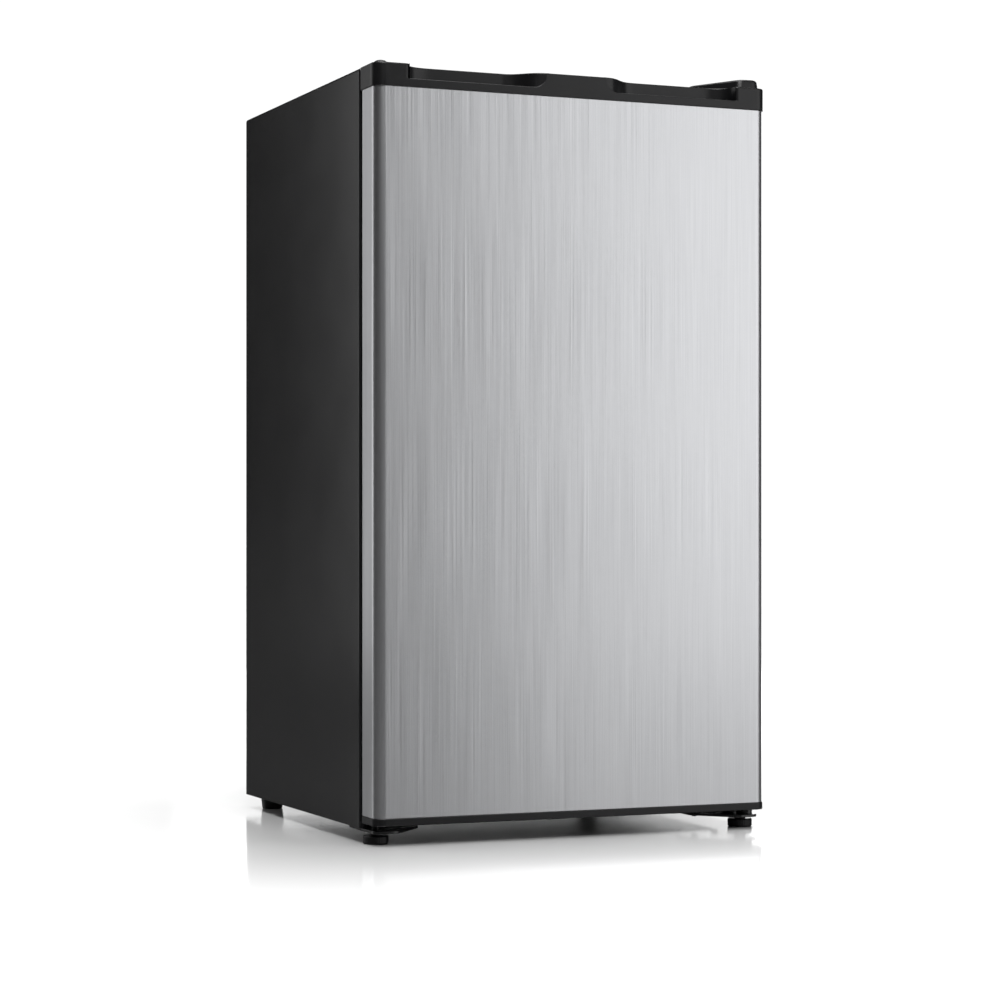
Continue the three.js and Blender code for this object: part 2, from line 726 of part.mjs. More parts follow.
function switchHousing() {
  const y0 = plunger.y + 9;
  const body = block(plunger.x - 8, cabin.half - FIT, y0, y0 + 26, plunger.z - 9, plunger.z + 9);
  const bore = new THREE.CylinderGeometry(PLUNGER_R + FIT, PLUNGER_R + FIT, 44, 16);
  return joined([body], [bore.translate(plunger.x, y0, plunger.z)]);
}

const switchPlunger = () => new THREE.CylinderGeometry(PLUNGER_R, PLUNGER_R, PLUNGER_LONG, 16);

// ---------------------------------------------------------------- shelves and crisper

function shelfGlass() {
  return block(-shelfHalf, shelfHalf, yShelfFront + 2, cabin.back - 14, 0, SHELF_GLASS);
}

// Front rail that grips the glass.
function shelfTrim() {
  const y1 = yShelfFront + SHELF_TRIM_DEEP;
  const low = -(SHELF_TRIM_HIGH - SHELF_GLASS) / 2;
  const half = cabin.half - SHELF_RIB_OUT - 2;
  const bar = alongX(rectangle(yShelfFront, y1, low, low + SHELF_TRIM_HIGH, 2.5), -half, half, 3);
  return joined([bar], [block(-HALF, HALF, yShelfFront + 2 - FIT, y1 + 5, -FIT, SHELF_GLASS + FIT)]);
}

const crisper = {
  half: cabin.half - SHELF_RIB_OUT - 8,
  y0: yShelfFront + 6,
  y1: cabin.humpY - LINER_CORNER,
  z0: cabin.floor + 3,
  z1: crisperCoverLevel - 8,
};
const CRISPER_WALL = 2.2;

// Clear drawer in front of the bay's hump, with a turned-out grip along its front edge.
function crisperDrawer() {
  const { half, y0, y1, z0, z1 } = crisper;
  const t = CRISPER_WALL;
  const box = alongZ(rectangle(-half, half, y0, y1, 10), z0, z1);
  const room = alongZ(rectangle(-half + t, half - t, y0 + t, y1 - t, 8), z0 + t, z1 + 5);
  const grip = block(-60, 60, y0 - 10, y0 + 1, z1 - 22, z1 - 19);
  const gripLip = block(-60, 60, y0 - 10, y0 - 8, z1 - 30, z1 - 20);
  return joined([box, grip, gripLip], [room]);
}

// ---------------------------------------------------------------- compressor bay

const TUBE_R = 3.5;

// Pan across the bay's floor, turned up along its front and rear edges.
function compressorPan() {
  const half = HALF - SHELL - FIT;
  const y0 = yBay + 12;
  const y1 = yBack - SHELL - FIT;
  const web = block(-half, half, y0, y1, zBottom, zPan);
  const lips = [
    block(-half, half, y0, y0 + PAN_SHEET, zBottom, zBottom + 14),
    block(-half, half, y1 - PAN_SHEET, y1, zBottom, zBottom + 22),
  ];
  return joined([web, ...lips]);
}

const stub = (angle, height) => ({
  angle,
  z: zPot + height,
  reach: COMPRESSOR_R + 9,
  direction: new THREE.Vector2(Math.cos(angle), Math.sin(angle)),
});
const suctionStub = stub(0.35, 58);
const dischargeStub = stub(2.2, 30);

// Welded pot: lower and upper steel shells with a seam flange, and two tube stubs.
function compressorPot() {
  const r = COMPRESSOR_R;
  const z0 = zPot;
  const seam = z0 + COMPRESSOR_HEIGHT - 53;
  const pairs = [
    [0, z0],
    [r - 22, z0],
    [r - 8, z0 + 6],
    [r - 2, z0 + 18],
    [r, z0 + 34],
    [r, seam],
    [r + 3, seam],
    [r + 3, seam + 5],
    [r - 1, seam + 5],
    [r - 3, seam + 22],
    [r - 12, seam + 40],
    [r - 30, seam + 50],
    [0, seam + 53],
  ];
  const stubs = [suctionStub, dischargeStub].map(({ angle, z, reach }) =>
    new THREE.CylinderGeometry(TUBE_R + 1, TUBE_R + 1, 20, 10)
      .rotateZ(Math.PI / 2)
      .translate(reach - 10, 0, z)
      .rotateZ(angle),
  );
  return joined([turned(pairs, 24), ...stubs]);
}

function compressorPlate() {
  const plate = alongZ(
    rectangle(-grommetX - 14, grommetX + 14, -GROMMET_Y - 12, GROMMET_Y + 12, 12),
    zMountPlate,
    zMountPlate + MOUNT_PLATE,
  );
  const holes = both((i) => both((j) => rod(i * grommetX, j * GROMMET_Y, 0, 60, 6.4, 12))).flat();
  return joined([plate], holes);
}

// Waisted rubber mount: foot, neck through the plate, and head.
function grommet() {
  const neck = 6;
  const foot = zPan + FIT;
  const plate = zMountPlate;
  return turned(
    [
      [0, foot],
      [10, foot],
      [10, foot + 3],
      [8.5, plate - FIT],
      [neck, plate - FIT],
      [neck, plate + MOUNT_PLATE + FIT],
      [8.5, plate + MOUNT_PLATE + FIT],
      [7.5, plate + MOUNT_PLATE + 5],
      [0, plate + MOUNT_PLATE + 5],
    ],
    12,
  );
}

function terminalCover() {
  const z0 = zPot + 32;
  const x1 = COMPRESSOR_X - COMPRESSOR_R + 16;
  const box = alongZ(rectangle(x1 - 50, x1, compressorY - 30, compressorY + 30, 6), z0, z0 + 46);
  const clearance = COMPRESSOR_R + 3 + FIT;
  return joined([box], [rod(COMPRESSOR_X, compressorY, z0 - 5, z0 + 60, clearance, 40)]);
}

function evaporationTray() {
  const z0 = zWaterTray;
  const z1 = z0 + WATER_TRAY_HEIGHT;
  const [a, b] = WATER_TRAY_HALF;
  const body = alongZ(rectangle(-a, a, -b, b, 14), z0, z1);
  const well = alongZ(rectangle(-a + 2, a - 2, -b + 2, b - 2, 12), z0 + 2, z1 + 5);
  return joined([body], [well]);
}

// A tube that leaves a stub of the pot along the stub, then follows the points to the ceiling.
function fromStub({ direction, z, reach }, radius, points, steps) {
  const along = (distance) => {
    const x = COMPRESSOR_X + direction.x * (reach + FIT + distance);
    return [x, compressorY + direction.y * (reach + FIT + distance), z];
  };
  return tube([along(0), along(12), ...points], radius, steps);
}

function suctionTube() {
  const x = COMPRESSOR_X + COMPRESSOR_R + 52;
  const y = compressorY + 40;
  const points = [
    [x - 6, y - 6, suctionStub.z + 18],
    [x, y, suctionStub.z + 50],
    [x, y, zBay - 1],
  ];
  return fromStub(suctionStub, TUBE_R, points, 16);
}

function dischargeTube() {
  const x = COMPRESSOR_X - COMPRESSOR_R - 70;
  const y = compressorY + 42;
  const points = [
    [x + 40, y + 12, dischargeStub.z + 2],
    [x + 8, y + 4, dischargeStub.z + 34],
    [x, y, dischargeStub.z + 80],
    [x, y, zBay - 1],
  ];
  return fromStub(dischargeStub, TUBE_R - 1, points, 20);
}

// Copper drier, necked at both ends, standing in the bay's corner.
function filterDrier() {
  const z0 = zPan + 42;
  const pairs = [
    [0, z0],
    [2.5, z0],
    [3, z0 + 14],
    [9, z0 + 22],
    [9, z0 + 80],
    [3, z0 + 88],
    [2, zBay - 1],
    [0, zBay - 1],
  ];
  return turned(pairs, 12);
}

// Moulded gland against the pan's rear lip, where the mains lead enters.
function cordGland() {
  const y1 = yBack - SHELL - FIT - PAN_SHEET - FIT;
  const body = alongY(rectangle(-14, 14, zPan + FIT, zPan + 34, 6), y1 - 16, y1);
  const bore = new THREE.CylinderGeometry(4, 4, 40, 12).translate(0, y1 - 8, zPan + 26);
  return joined([body], [bore]);
}

// ---------------------------------------------------------------- hinges and feet

function screw(headUp) {
  const pairs = [
    [0, -4.3],
    [SCREW_R, -4.3],
    [SCREW_R, 0],
    [4.4, 0],
    [4.4, 1],
    [3, 2.4],
    [0, 2.6],
  ];
  const made = turned(pairs, 12);
  return headUp ? made : made.rotateX(Math.PI);
}

const zTopPlate = zTop + FIT;
const PIN_REACH = 17;

function topHingeBracket() {
  const plate = alongZ(
    outline([
      [hinge.x + 10, hinge.y - 10, 9],
      [hinge.x + 10, yFront + 50, 4],
      [hinge.x - 48, yFront + 50, 6],
      [hinge.x - 48, yFront + 10, 6],
      [hinge.x - 10, hinge.y - 10, 9],
    ]),
    zTopPlate,
    zTopPlate + HINGE_PLATE,
  );
  const pin = rod(hinge.x, hinge.y, zTopPlate - PIN_REACH, zTopPlate + 1, PIN_R, 20);
  const holes = hingeScrews.map(([x, y]) => rod(x, y, zTop - 5, zTop + 15, SCREW_HOLE_R, 10));
  return joined([plate, pin], holes);
}

const COVER_HEIGHT = 10;
const COVER_WALL = 2;

function coverOutline(grow) {
  return outline([
    [hinge.x + 13 + grow, hinge.y - 13 - grow, 12 + grow],
    [hinge.x + 13 + grow, yFront + 56 + grow, 5],
    [hinge.x - 54 - grow, yFront + 56 + grow, 8],
    [hinge.x - 54 - grow, yFront + 6 - grow, 10],
    [hinge.x - 13 - grow, hinge.y - 13 - grow, 12 + grow],
  ]);
}

function topHingeCover() {
  const z0 = zTopPlate;
  const z1 = zTopPlate + COVER_HEIGHT;
  return joined(
    [alongZ(coverOutline(0), z0, z1)],
    [alongZ(coverOutline(-COVER_WALL), z0 - 1, z1 - COVER_WALL)],
  );
}

// Steel plate under the cabinet's corner. It carries a levelling foot and, on the hinge side, the pin.
function footBracket(side, withPin) {
  const z1 = zBottom - FIT;
  const z0 = z1 - HINGE_PLATE;
  const x = (inward) => side * (hinge.x - inward);
  const plate = alongZ(
    outline([
      [x(-11), hinge.y - 12, 10],
      [x(-11), yFront + 46, 4],
      [x(56), yFront + 46, 6],
      [x(56), yFront + 6, 8],
      [x(16), hinge.y - 12, 12],
    ]),
    z0,
    z1,
  );
  const shoulder = rod(x(0), hinge.y, z1 - 1, zSkinBottom - BOTTOM_CAP_HEIGHT - FIT, PIN_R + 3, 20);
  const pin = rod(x(0), hinge.y, z1, zSkinBottom + 10, PIN_R, 20);
  const stud = rod(x(0), footY, z0 - 5, z1 + 5, STUD_R + FIT, 16);
  const holes = footScrews(side).map(([sx, sy]) => rod(sx, sy, z0 - 5, z1 + 5, SCREW_HOLE_R, 10));
  return joined(withPin ? [plate, shoulder, pin] : [plate], [stud, ...holes]);
}

// Levelling foot: ribbed pad, neck and stud, turning about Z.
function levellingFoot() {
  const plate = zBottom - FIT - HINGE_PLATE;
  return turned(
    [
      [0, 0],
      [FOOT_R - 1, 0],
      [FOOT_R, 1],
      [FOOT_R, 8],
      [FOOT_R - 1.5, 9.5],
      [6.5, 9.5],
      [6.5, plate - FIT],
      [STUD_R, plate - FIT],
      [STUD_R, plate + HINGE_PLATE + 4],
      [0, plate + HINGE_PLATE + 5],
    ],
    24,
  );
}

function rearFoot() {
  return turned(
    [
      [0, 0],
      [12, 0],
      [13, 1.5],
      [14, zBottom - FIT],
      [0, zBottom - FIT],
    ],
    20,
  );
}

// ---------------------------------------------------------------- door

function doorSkin() {
  const a = skinHalf;
  const t = SKIN;
  const y0 = yDoorFront;
  const y1 = yDoorRear;
  const lip = a - SKIN_RETURN;
  const bent = outline([
    [-lip, y1],
    [-a, y1, 1.5],
    [-a, y0, SKIN_CORNER],
    [a, y0, SKIN_CORNER],
    [a, y1, 1.5],
    [lip, y1],
    [lip, y1 - t],
    [a - t, y1 - t, 0.7],
    [a - t, y0 + t, SKIN_CORNER - t],
    [-a + t, y0 + t, SKIN_CORNER - t],
    [-a + t, y1 - t, 0.7],
    [-lip, y1 - t],
  ]);
  return alongZ(bent, zSkinBottom + FIT, zSkinTop - FIT, 3);
}

const zTub = zSkinTop - GRIP_BELOW_EDGE - GRIP_WALL; // underside of the grip tub
const lug = { deep: 16, high: 6, y0: yDoorRear + 2 };

function doorFoam() {
  const half = skinHalf - SKIN - FIT;
  const body = alongZ(
    outline([
      [-half, yDoorFront + SKIN + FIT, SKIN_CORNER - SKIN],
      [half, yDoorFront + SKIN + FIT, SKIN_CORNER - SKIN],
      [half, yDoorRear - SKIN - FIT],
      [-half, yDoorRear - SKIN - FIT],
    ]),
    zSkinBottom + 18,
    zTub - FIT,
  );
  const g = FIT;
  const recess = block(
    -dykeInner - LINER - g,
    dykeInner + LINER + g,
    yRecess - LINER - g,
    yBack,
    zRecess[0] - LINER - g,
    zRecess[1] + LINER + g,
  );
  return joined([body], [recess]);
}

// Vacuum-formed door panel: edge flange, hollow raised dyke and recessed middle, with rack lugs.
function doorLiner() {
  const y0 = yDoorRear + FIT;
  const half = skinHalf - 4;
  const flange = block(-half, half, y0, y0 + LINER, zSkinBottom + 4, zSkinTop - 4);
  const yOut = yDoorRear + DYKE_OUT;
  const dyke = alongY(rectangle(-DYKE_HALF, DYKE_HALF, zDyke[0], zDyke[1], 14), y0, yOut);
  const hollow = alongY(
    rectangle(-DYKE_HALF + LINER, DYKE_HALF - LINER, zDyke[0] + LINER, zDyke[1] - LINER, 12),
    y0 - 1,
    yOut - LINER,
  );
  const tub = block(
    -dykeInner - LINER,
    dykeInner + LINER,
    yRecess - LINER,
    yOut,
    zRecess[0] - LINER,
    zRecess[1] + LINER,
  );
  const recess = block(-dykeInner, dykeInner, yRecess, yOut + 5, zRecess[0], zRecess[1]);
  const shell = solidOf(joined([flange, dyke], [hollow])).add(solidOf(tub)).subtract(solidOf(recess));
  const lugs = racks.flatMap(({ bottom }) =>
    both((side) => {
      const [x0, x1] = span(side, rackHalf + FIT + 0.4, dykeInner + 1);
      const z1 = bottom + RACK_EAR_LEVEL - FIT;
      return block(x0, x1, lug.y0, lug.y0 + lug.deep, z1 - lug.high, z1);
    }),
  );
  return geometryOf(lugs.reduce((solid, one) => solid.add(solidOf(one)), shell));
}

// Outline of a door cap seen from above, its rear corners rounded to turn past the cabinet.
function capOutline(half, rear, rearCorner) {
  return outline([
    [-half, yCapFront, SKIN_CORNER + CAP_PROUD],
    [half, yCapFront, SKIN_CORNER + CAP_PROUD],
    [half, rear, rearCorner],
    [-half, rear, rearCorner],
  ]);
}

// One grip from above: a straight back wall that sweeps out to the front in an S towards the
// bridge, and in a quarter bend at its outer end.
function gripOutline(side) {
  const yWall = yCapFront + GRIP_DEPTH;
  const inner = side * GRIP_INNER;
  const outer = side * GRIP_OUTER;
  const innerEnd = side * (GRIP_INNER + GRIP_SWEEP_IN);
  const outerEnd = side * (GRIP_OUTER - GRIP_SWEEP_OUT);
  const middle = (inner + innerEnd) / 2;
  const shape = new THREE.Shape();
  shape.moveTo(inner, yCapFront - 30);
  shape.lineTo(inner, yCapFront);
  shape.bezierCurveTo(middle, yCapFront, middle, yWall, innerEnd, yWall);
  shape.lineTo(outerEnd, yWall);
  shape.quadraticCurveTo(outer, yWall, outer, yCapFront);
  shape.lineTo(outer, yCapFront - 30);
  shape.closePath();
  return shape;
}

// The grip's mouth in the front face: square outside, rounded at its lower inner corner.
function gripWindow(side) {
  const z0 = zSkinTop + GRIP_LIP_HEIGHT;
  return outline([
    [side * GRIP_INNER, z0, GRIP_ROUND],
    [side * (GRIP_OUTER + 20), z0],
    [side * (GRIP_OUTER + 20), zCapTop + 60],
    [side * GRIP_INNER, zCapTop + 60],
  ]);
}

// Radius of a rear corner at (a, b) from the hinge axis that stays within `reach` of it.
function turningRadius(a, b, reach) {
  const excess = a + b - reach;
  return excess + Math.sqrt(excess ** 2 - (a ** 2 + b ** 2 - reach ** 2));
}

function doorTopCap() {
  const rear = yFront - CAP_REAR_GAP;
  const reach = yFront - hinge.y - TURNING_CLEARANCE;
  const corner = turningRadius(HINGE_IN, rear - hinge.y, reach);
  const body = alongZ(capOutline(HALF, rear, corner), zSkinTop, zCapTop, 4);
  const tub = block(
    -GRIP_OUTER - GRIP_WALL,
    GRIP_OUTER + GRIP_WALL,
    yDoorFront + SKIN + FIT,
    yCapFront + GRIP_DEPTH + GRIP_WALL,
    zTub,
    zSkinTop + 1,
  );
  const grips = both((side) => {
    const room = solidOf(alongZ(gripOutline(side), zTub + GRIP_WALL, zCapTop + 5, 8));
    const window = solidOf(alongY(gripWindow(side), yCapFront - 40, yBack, 4));
    const behindLip = solidOf(
      block(-HALF, HALF, yCapFront + GRIP_LIP, yBack, zTub, zSkinTop + GRIP_LIP_HEIGHT + 1),
    );
    return [room.intersect(window), room.intersect(behindLip)];
  }).flat();
  const bores = both((side) => rod(side * hinge.x, hinge.y, zCapTop - 20, zCapTop + 5, PIN_R + PIN_PLAY, 20));
  const cap = solidOf(joined([body, tub], bores));
  return geometryOf(grips.reduce((solid, grip) => solid.subtract(grip), cap));
}

function doorBottomCap() {
  const z0 = zSkinBottom - BOTTOM_CAP_HEIGHT;
  const body = alongZ(capOutline(HALF - 0.5, yDoorRear, 3), z0, zSkinBottom, 4);
  const sockets = both((side) => rod(side * hinge.x, hinge.y, z0 + 1, zSkinBottom + 15, 9, 16));
  const bores = both((side) => rod(side * hinge.x, hinge.y, z0 - 5, zSkinBottom + 12, PIN_R + PIN_PLAY, 16));
  return joined([body, ...sockets], bores);
}

// Magnetic gasket: a flat base on the door liner and a softer, narrower sealing lip.
function doorGasket() {
  const { half, z0, z1 } = gasket;
  const frame = (inset, y0, y1) => {
    const far = GASKET_WIDE - inset;
    const outside = rectangle(-half + inset, half - inset, z0 + inset, z1 - inset, 6);
    const inside = rectangle(-half + far, half - far, z0 + far, z1 - far, 3);
    return joined([alongY(outside, y0, y1)], [alongY(inside, y0 - 5, y1 + 5)]);
  };
  const base = yDoorRear + LINER + 2 * FIT;
  return joined([frame(0, base, base + 1), frame(1.5, base, yFront - FIT)]);
}

// A bin that hangs by its two ears on the door liner's lugs.
function doorRack({ bottom, height }) {
  const y0 = yRecess + 1;
  const y1 = yDoorRear + RACK_DEPTH_BEHIND_EDGE;
  const t = RACK_WALL;
  const body = alongZ(rectangle(-rackHalf, rackHalf, y0, y1, 9), bottom, bottom + height);
  const room = alongZ(
    rectangle(-rackHalf + t, rackHalf - t, y0 + t, y1 - t, 7),
    bottom + t,
    bottom + height + 5,
  );
  const ears = both((side) => {
    const [x0, x1] = span(side, rackHalf - 1, dykeInner - 0.6);
    const z0 = bottom + RACK_EAR_LEVEL;
    return block(x0, x1, lug.y0 - 1, lug.y0 + lug.deep + 1, z0, z0 + 6);
  });
  return joined([body, ...ears], [room]);
}

// Button over the spare hinge bore, for a door hung on the other side.
function hingeHolePlug() {
  return turned(
    [
      [0, -8],
      [PIN_R - 0.2, -8],
      [PIN_R - 0.2, FIT],
      [7.5, FIT],
      [7.5, 2],
      [6.3, 4],
      [3.5, 5],
      [0, 5.4],
    ],
    20,
  );
}

// ---------------------------------------------------------------- assembly

place(cabinet, "outer_shell", outerShell(), finishes.blackPaint);
place(cabinet, "back_panel", backPanel(), finishes.zinc);
place(cabinet, "base_panel", basePanel(), finishes.zinc);
place(cabinet, "front_crossbar", frontCrossbar(), finishes.blackPaint);
place(cabinet, "cabinet_foam", cabinetFoam(), finishes.foam);
place(cabinet, "inner_liner", innerLiner(), finishes.whitePlastic);

place(cabinFittings, "evaporator_box", evaporatorBox(), finishes.aluminium);
place(cabinFittings, "freezer_frame", freezerFrame(), finishes.whitePlastic);
place(cabinFittings, "freezer_flap", freezerFlap(), finishes.frosted);
place(cabinFittings, "drip_tray", dripTray(), finishes.clearPlastic);
place(cabinFittings, "thermostat_housing", thermostatHousing(), finishes.whitePlastic);
place(cabinFittings, "thermostat_dial", thermostatDial(), finishes.whitePlastic);
place(cabinFittings, "lamp_bulb", lampBulb(), finishes.glass);
place(cabinFittings, "lamp_cover", lampCover(), finishes.frosted);
place(cabinFittings, "switch_housing", switchHousing(), finishes.whitePlastic);
place(cabinFittings, "switch_plunger", switchPlunger(), finishes.whitePlastic, [
  plunger.x,
  plunger.y + PLUNGER_LONG / 2,
  plunger.z,
]);

const shelves = [
  { name: "upper_shelf", step: shelfSteps },
  { name: "lower_shelf", step: Math.round(shelfSteps / 2) },
  { name: "crisper_cover", step: 0 },
];
for (const { name, step } of shelves) {
  const position = [0, 0, shelfLevel(step)];
  place(cabinFittings, name + "_glass", shelfGlass(), finishes.glass, position);
  place(cabinFittings, name + "_trim", shelfTrim(), finishes.whitePlastic, position);
}
place(cabinFittings, "crisper_drawer", crisperDrawer(), finishes.clearPlastic);

place(machinery, "condenser_coil", condenserCoil(), finishes.copper);
place(machinery, "compressor_pan", compressorPan(), finishes.zinc);
place(machinery, "compressor", compressorPot(), finishes.compressorPaint, [COMPRESSOR_X, compressorY, 0]);
place(machinery, "compressor_base_plate", compressorPlate(), finishes.compressorPaint, [
  COMPRESSOR_X,
  compressorY,
  0,
]);
for (const [i, j, corner] of [
  [-1, -1, "front_left"],
  [1, -1, "front_right"],
  [-1, 1, "rear_left"],
  [1, 1, "rear_right"],
]) {
  place(machinery, "compressor_mount_" + corner, grommet(), finishes.rubber, [
    COMPRESSOR_X + i * grommetX,
    compressorY + j * GROMMET_Y,
    0,
  ]);
}
place(machinery, "terminal_cover", terminalCover(), finishes.blackPlastic);
place(machinery, "evaporation_tray", evaporationTray(), finishes.blackPlastic, [
  COMPRESSOR_X,
  compressorY,
  0,
]);
place(machinery, "suction_tube", suctionTube(), finishes.copper);
place(machinery, "discharge_tube", dischargeTube(), finishes.copper);
place(machinery, "filter_drier", filterDrier(), finishes.copper, [-140, yBay + 40, 0]);
place(machinery, "cord_gland", cordGland(), finishes.blackPlastic, [-170, 0, 0]);

place(cabinet, "top_hinge_bracket", topHingeBracket(), finishes.zinc);
place(cabinet, "top_hinge_cover", topHingeCover(), finishes.blackPlastic);
hingeScrews.forEach(([x, y], i) => {
  place(cabinet, "top_hinge_screw_" + (i + 1), screw(true), finishes.zinc, [
    x,
    y,
    zTopPlate + HINGE_PLATE + FIT,
  ]);
});

place(cabinet, "lower_hinge_bracket", footBracket(1, true), finishes.blackPaint);
place(cabinet, "left_foot_bracket", footBracket(-1, false), finishes.blackPaint);
footScrews(1).forEach(([x, y], i) => {
  place(cabinet, "lower_hinge_screw_" + (i + 1), screw(false), finishes.zinc, [
    x,
    y,
    zBottom - FIT - HINGE_PLATE - FIT,
  ]);
});
place(cabinet, "front_left_foot", levellingFoot(), finishes.blackPlastic, [-hinge.x, footY, 0]);
place(cabinet, "front_right_foot", levellingFoot(), finishes.blackPlastic, [hinge.x, footY, 0]);
place(cabinet, "rear_left_foot", rearFoot(), finishes.blackPlastic, [-HALF + 26, yBack - 24, 0]);
place(cabinet, "rear_right_foot", rearFoot(), finishes.blackPlastic, [HALF - 26, yBack - 24, 0]);

place(door, "door_skin", doorSkin(), finishes.brushedSteel);
place(door, "door_foam", doorFoam(), finishes.foam);
place(door, "door_liner", doorLiner(), finishes.whitePlastic);
place(door, "door_top_cap", doorTopCap(), finishes.blackPlastic);
place(door, "door_bottom_cap", doorBottomCap(), finishes.blackPlastic);
place(door, "door_gasket", doorGasket(), finishes.gasket);
place(door, "hinge_hole_plug", hingeHolePlug(), finishes.blackPlastic, [-hinge.x, hinge.y, zCapTop]);
for (const rack of racks) place(door, rack.name, doorRack(rack), finishes.clearPlastic);

export default fridge;
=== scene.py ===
# %% [markdown]
# # A compact refrigerator with a brushed steel door
#
# The design of this refrigerator already exists as plain solids, one for each separate piece. This lesson
# gives every piece the form and the finish of the real one: bent sheet steel, moulded and vacuum-formed
# plastic, glass, rubber and copper. Nothing is moved. Each new surface is placed by the box of the solid
# that it stands for, so the door still fits the cabinet.

import json
import math

import bmesh
import bpy
import numpy as np
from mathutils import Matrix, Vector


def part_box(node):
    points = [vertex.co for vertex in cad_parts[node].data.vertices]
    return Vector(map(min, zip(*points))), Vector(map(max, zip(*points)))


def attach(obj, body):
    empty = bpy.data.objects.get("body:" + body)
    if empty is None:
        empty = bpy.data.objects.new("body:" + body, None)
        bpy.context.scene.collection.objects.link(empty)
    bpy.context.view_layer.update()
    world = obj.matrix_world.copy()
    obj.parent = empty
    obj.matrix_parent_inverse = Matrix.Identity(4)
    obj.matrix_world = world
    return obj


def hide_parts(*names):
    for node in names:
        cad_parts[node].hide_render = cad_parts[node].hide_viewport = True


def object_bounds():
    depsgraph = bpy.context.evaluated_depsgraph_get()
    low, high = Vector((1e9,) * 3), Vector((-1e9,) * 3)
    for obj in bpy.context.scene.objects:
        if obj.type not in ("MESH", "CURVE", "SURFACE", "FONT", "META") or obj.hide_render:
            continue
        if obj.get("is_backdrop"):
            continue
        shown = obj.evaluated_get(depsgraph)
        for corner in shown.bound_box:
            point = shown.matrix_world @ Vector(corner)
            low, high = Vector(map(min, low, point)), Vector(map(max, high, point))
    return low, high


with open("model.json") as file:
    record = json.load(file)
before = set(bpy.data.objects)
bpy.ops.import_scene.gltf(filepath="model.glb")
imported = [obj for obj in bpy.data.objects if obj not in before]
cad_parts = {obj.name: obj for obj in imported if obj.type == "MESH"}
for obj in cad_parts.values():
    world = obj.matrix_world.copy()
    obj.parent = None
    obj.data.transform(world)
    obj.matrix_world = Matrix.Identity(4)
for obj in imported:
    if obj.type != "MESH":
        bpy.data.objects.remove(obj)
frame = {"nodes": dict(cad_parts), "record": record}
nodes = frame["nodes"]
design_low, design_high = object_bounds()
BODY_OF = {node: body for body, group in frame["record"]["behaviour"]["bodies"].items() for node in group}
mm = 0.001
GAP = 0.3 * mm  # clearance between neighbouring pieces
print(len(nodes), "designed pieces,", round((design_high - design_low).z, 3), "m high")

# %% [markdown]
# ## Boxes of the designed pieces
#
# Every size that follows starts from the box of a designed piece: its lowest and highest corner. A piece can
# then be outlined as seen from above, or as seen from the front.


# %% Boxes and outlines
def corners(node):
    """Lowest and highest corner of a designed piece, as two arrays in metres."""
    low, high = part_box(node)
    return np.array(low), np.array(high)


def rectangle(a0, a1, b0, b1):
    """The four corners of a rectangle, anticlockwise."""
    return np.array([[a0, b0], [a1, b0], [a1, b1], [a0, b1]])


def from_above(low, high):
    """Outline of a box in x and y."""
    return rectangle(low[0], high[0], low[1], high[1])


def from_the_front(low, high):
    """Outline of a box in x and z."""
    return rectangle(low[0], high[0], low[2], high[2])


print("door outline", from_the_front(*corners("door_skin")).round(3).tolist())

# %% [markdown]
# ## Camera
#
# A long lens from about three metres away keeps the edges nearly parallel, as in a catalogue picture. The
# camera stands a little left of the middle and below half the height, and looks level, so that upright edges
# stay upright. The frame is moved up a little with the lens shift and not by tilting the camera.

# %% Camera
CAMERA_PLACE = (-1.224, -2.913, 0.341)
CAMERA_YAW = math.radians(22.86)
FOCAL_LENGTH = 96.9  # millimetres, on a sensor 36 wide
LENS_SHIFT = 0.027

camera = bpy.data.cameras.new("studio_camera")
camera.lens = FOCAL_LENGTH
camera.sensor_width = 36
camera.shift_y = LENS_SHIFT
camera_object = bpy.data.objects.new("studio_camera", camera)
camera_object.location = CAMERA_PLACE
camera_object.rotation_euler = (math.pi / 2, 0, -CAMERA_YAW)
bpy.context.scene.collection.objects.link(camera_object)
bpy.context.scene.camera = camera_object
print("camera", round(math.dist(CAMERA_PLACE, (0, 0, 0.4)), 2), "m away")

# %% [markdown]
# ## Outlines with round corners
#
# Bent sheet and moulded plastic never have a sharp corner. One function rounds any outline, and it works on
# whole arrays of outlines at once. It uses a rational quadratic curve, because with the right weight this
# simple curve is exactly a circular arc.


# %% Rounding an outline
def rounded(points, radii, steps=6):
    """Outline whose corners are circular arcs.

    Where the sides meet at the angle w, an arc of radius r touches them at r / tan(w / 2) from the corner P.
    The quadratic curve over those touching points and P, with the weight sin(w / 2) on P, is that arc. An
    open line has radius 0 at its two ends.
    """
    points = np.asarray(points, float)
    radii = np.broadcast_to(radii, points.shape[:-1])
    sides = [np.roll(points, step, axis=-2) - points for step in (1, -1)]
    lengths = [np.linalg.norm(side, axis=-1) for side in sides]
    units = [side / np.maximum(length, 1e-12)[..., None] for side, length in zip(sides, lengths)]
    half = np.arccos(np.clip((units[0] * units[1]).sum(-1), -1, 1)) / 2
    reach = radii / np.maximum(np.tan(half), 1e-9)
    reach = np.minimum(reach, 0.499 * np.minimum(*lengths))[..., None]
    start, end = [points + unit * reach for unit in units]
    t = np.linspace(0, 1, steps)[:, None]
    shares = (1 - t) ** 2, 2 * t * (1 - t) * np.sin(half)[..., None, None], t**2
    curve = sum(share * place[..., None, :] for share, place in zip(shares, (start, points, end)))
    return (curve / sum(shares)).reshape(*points.shape[:-2], -1, 2)


quarter = rounded(rectangle(-2, 2, -2, 2), 1, 3)
print("middle of a rounded corner", quarter[1].round(3).tolist())

# %% [markdown]
# ## Moving an outline inwards
#
# A moulded wall has an outside and an inside, and both have the same outline, only at different insets. The
# second helper, `round_off`, says how far a surface falls back where its edge is a quarter circle.


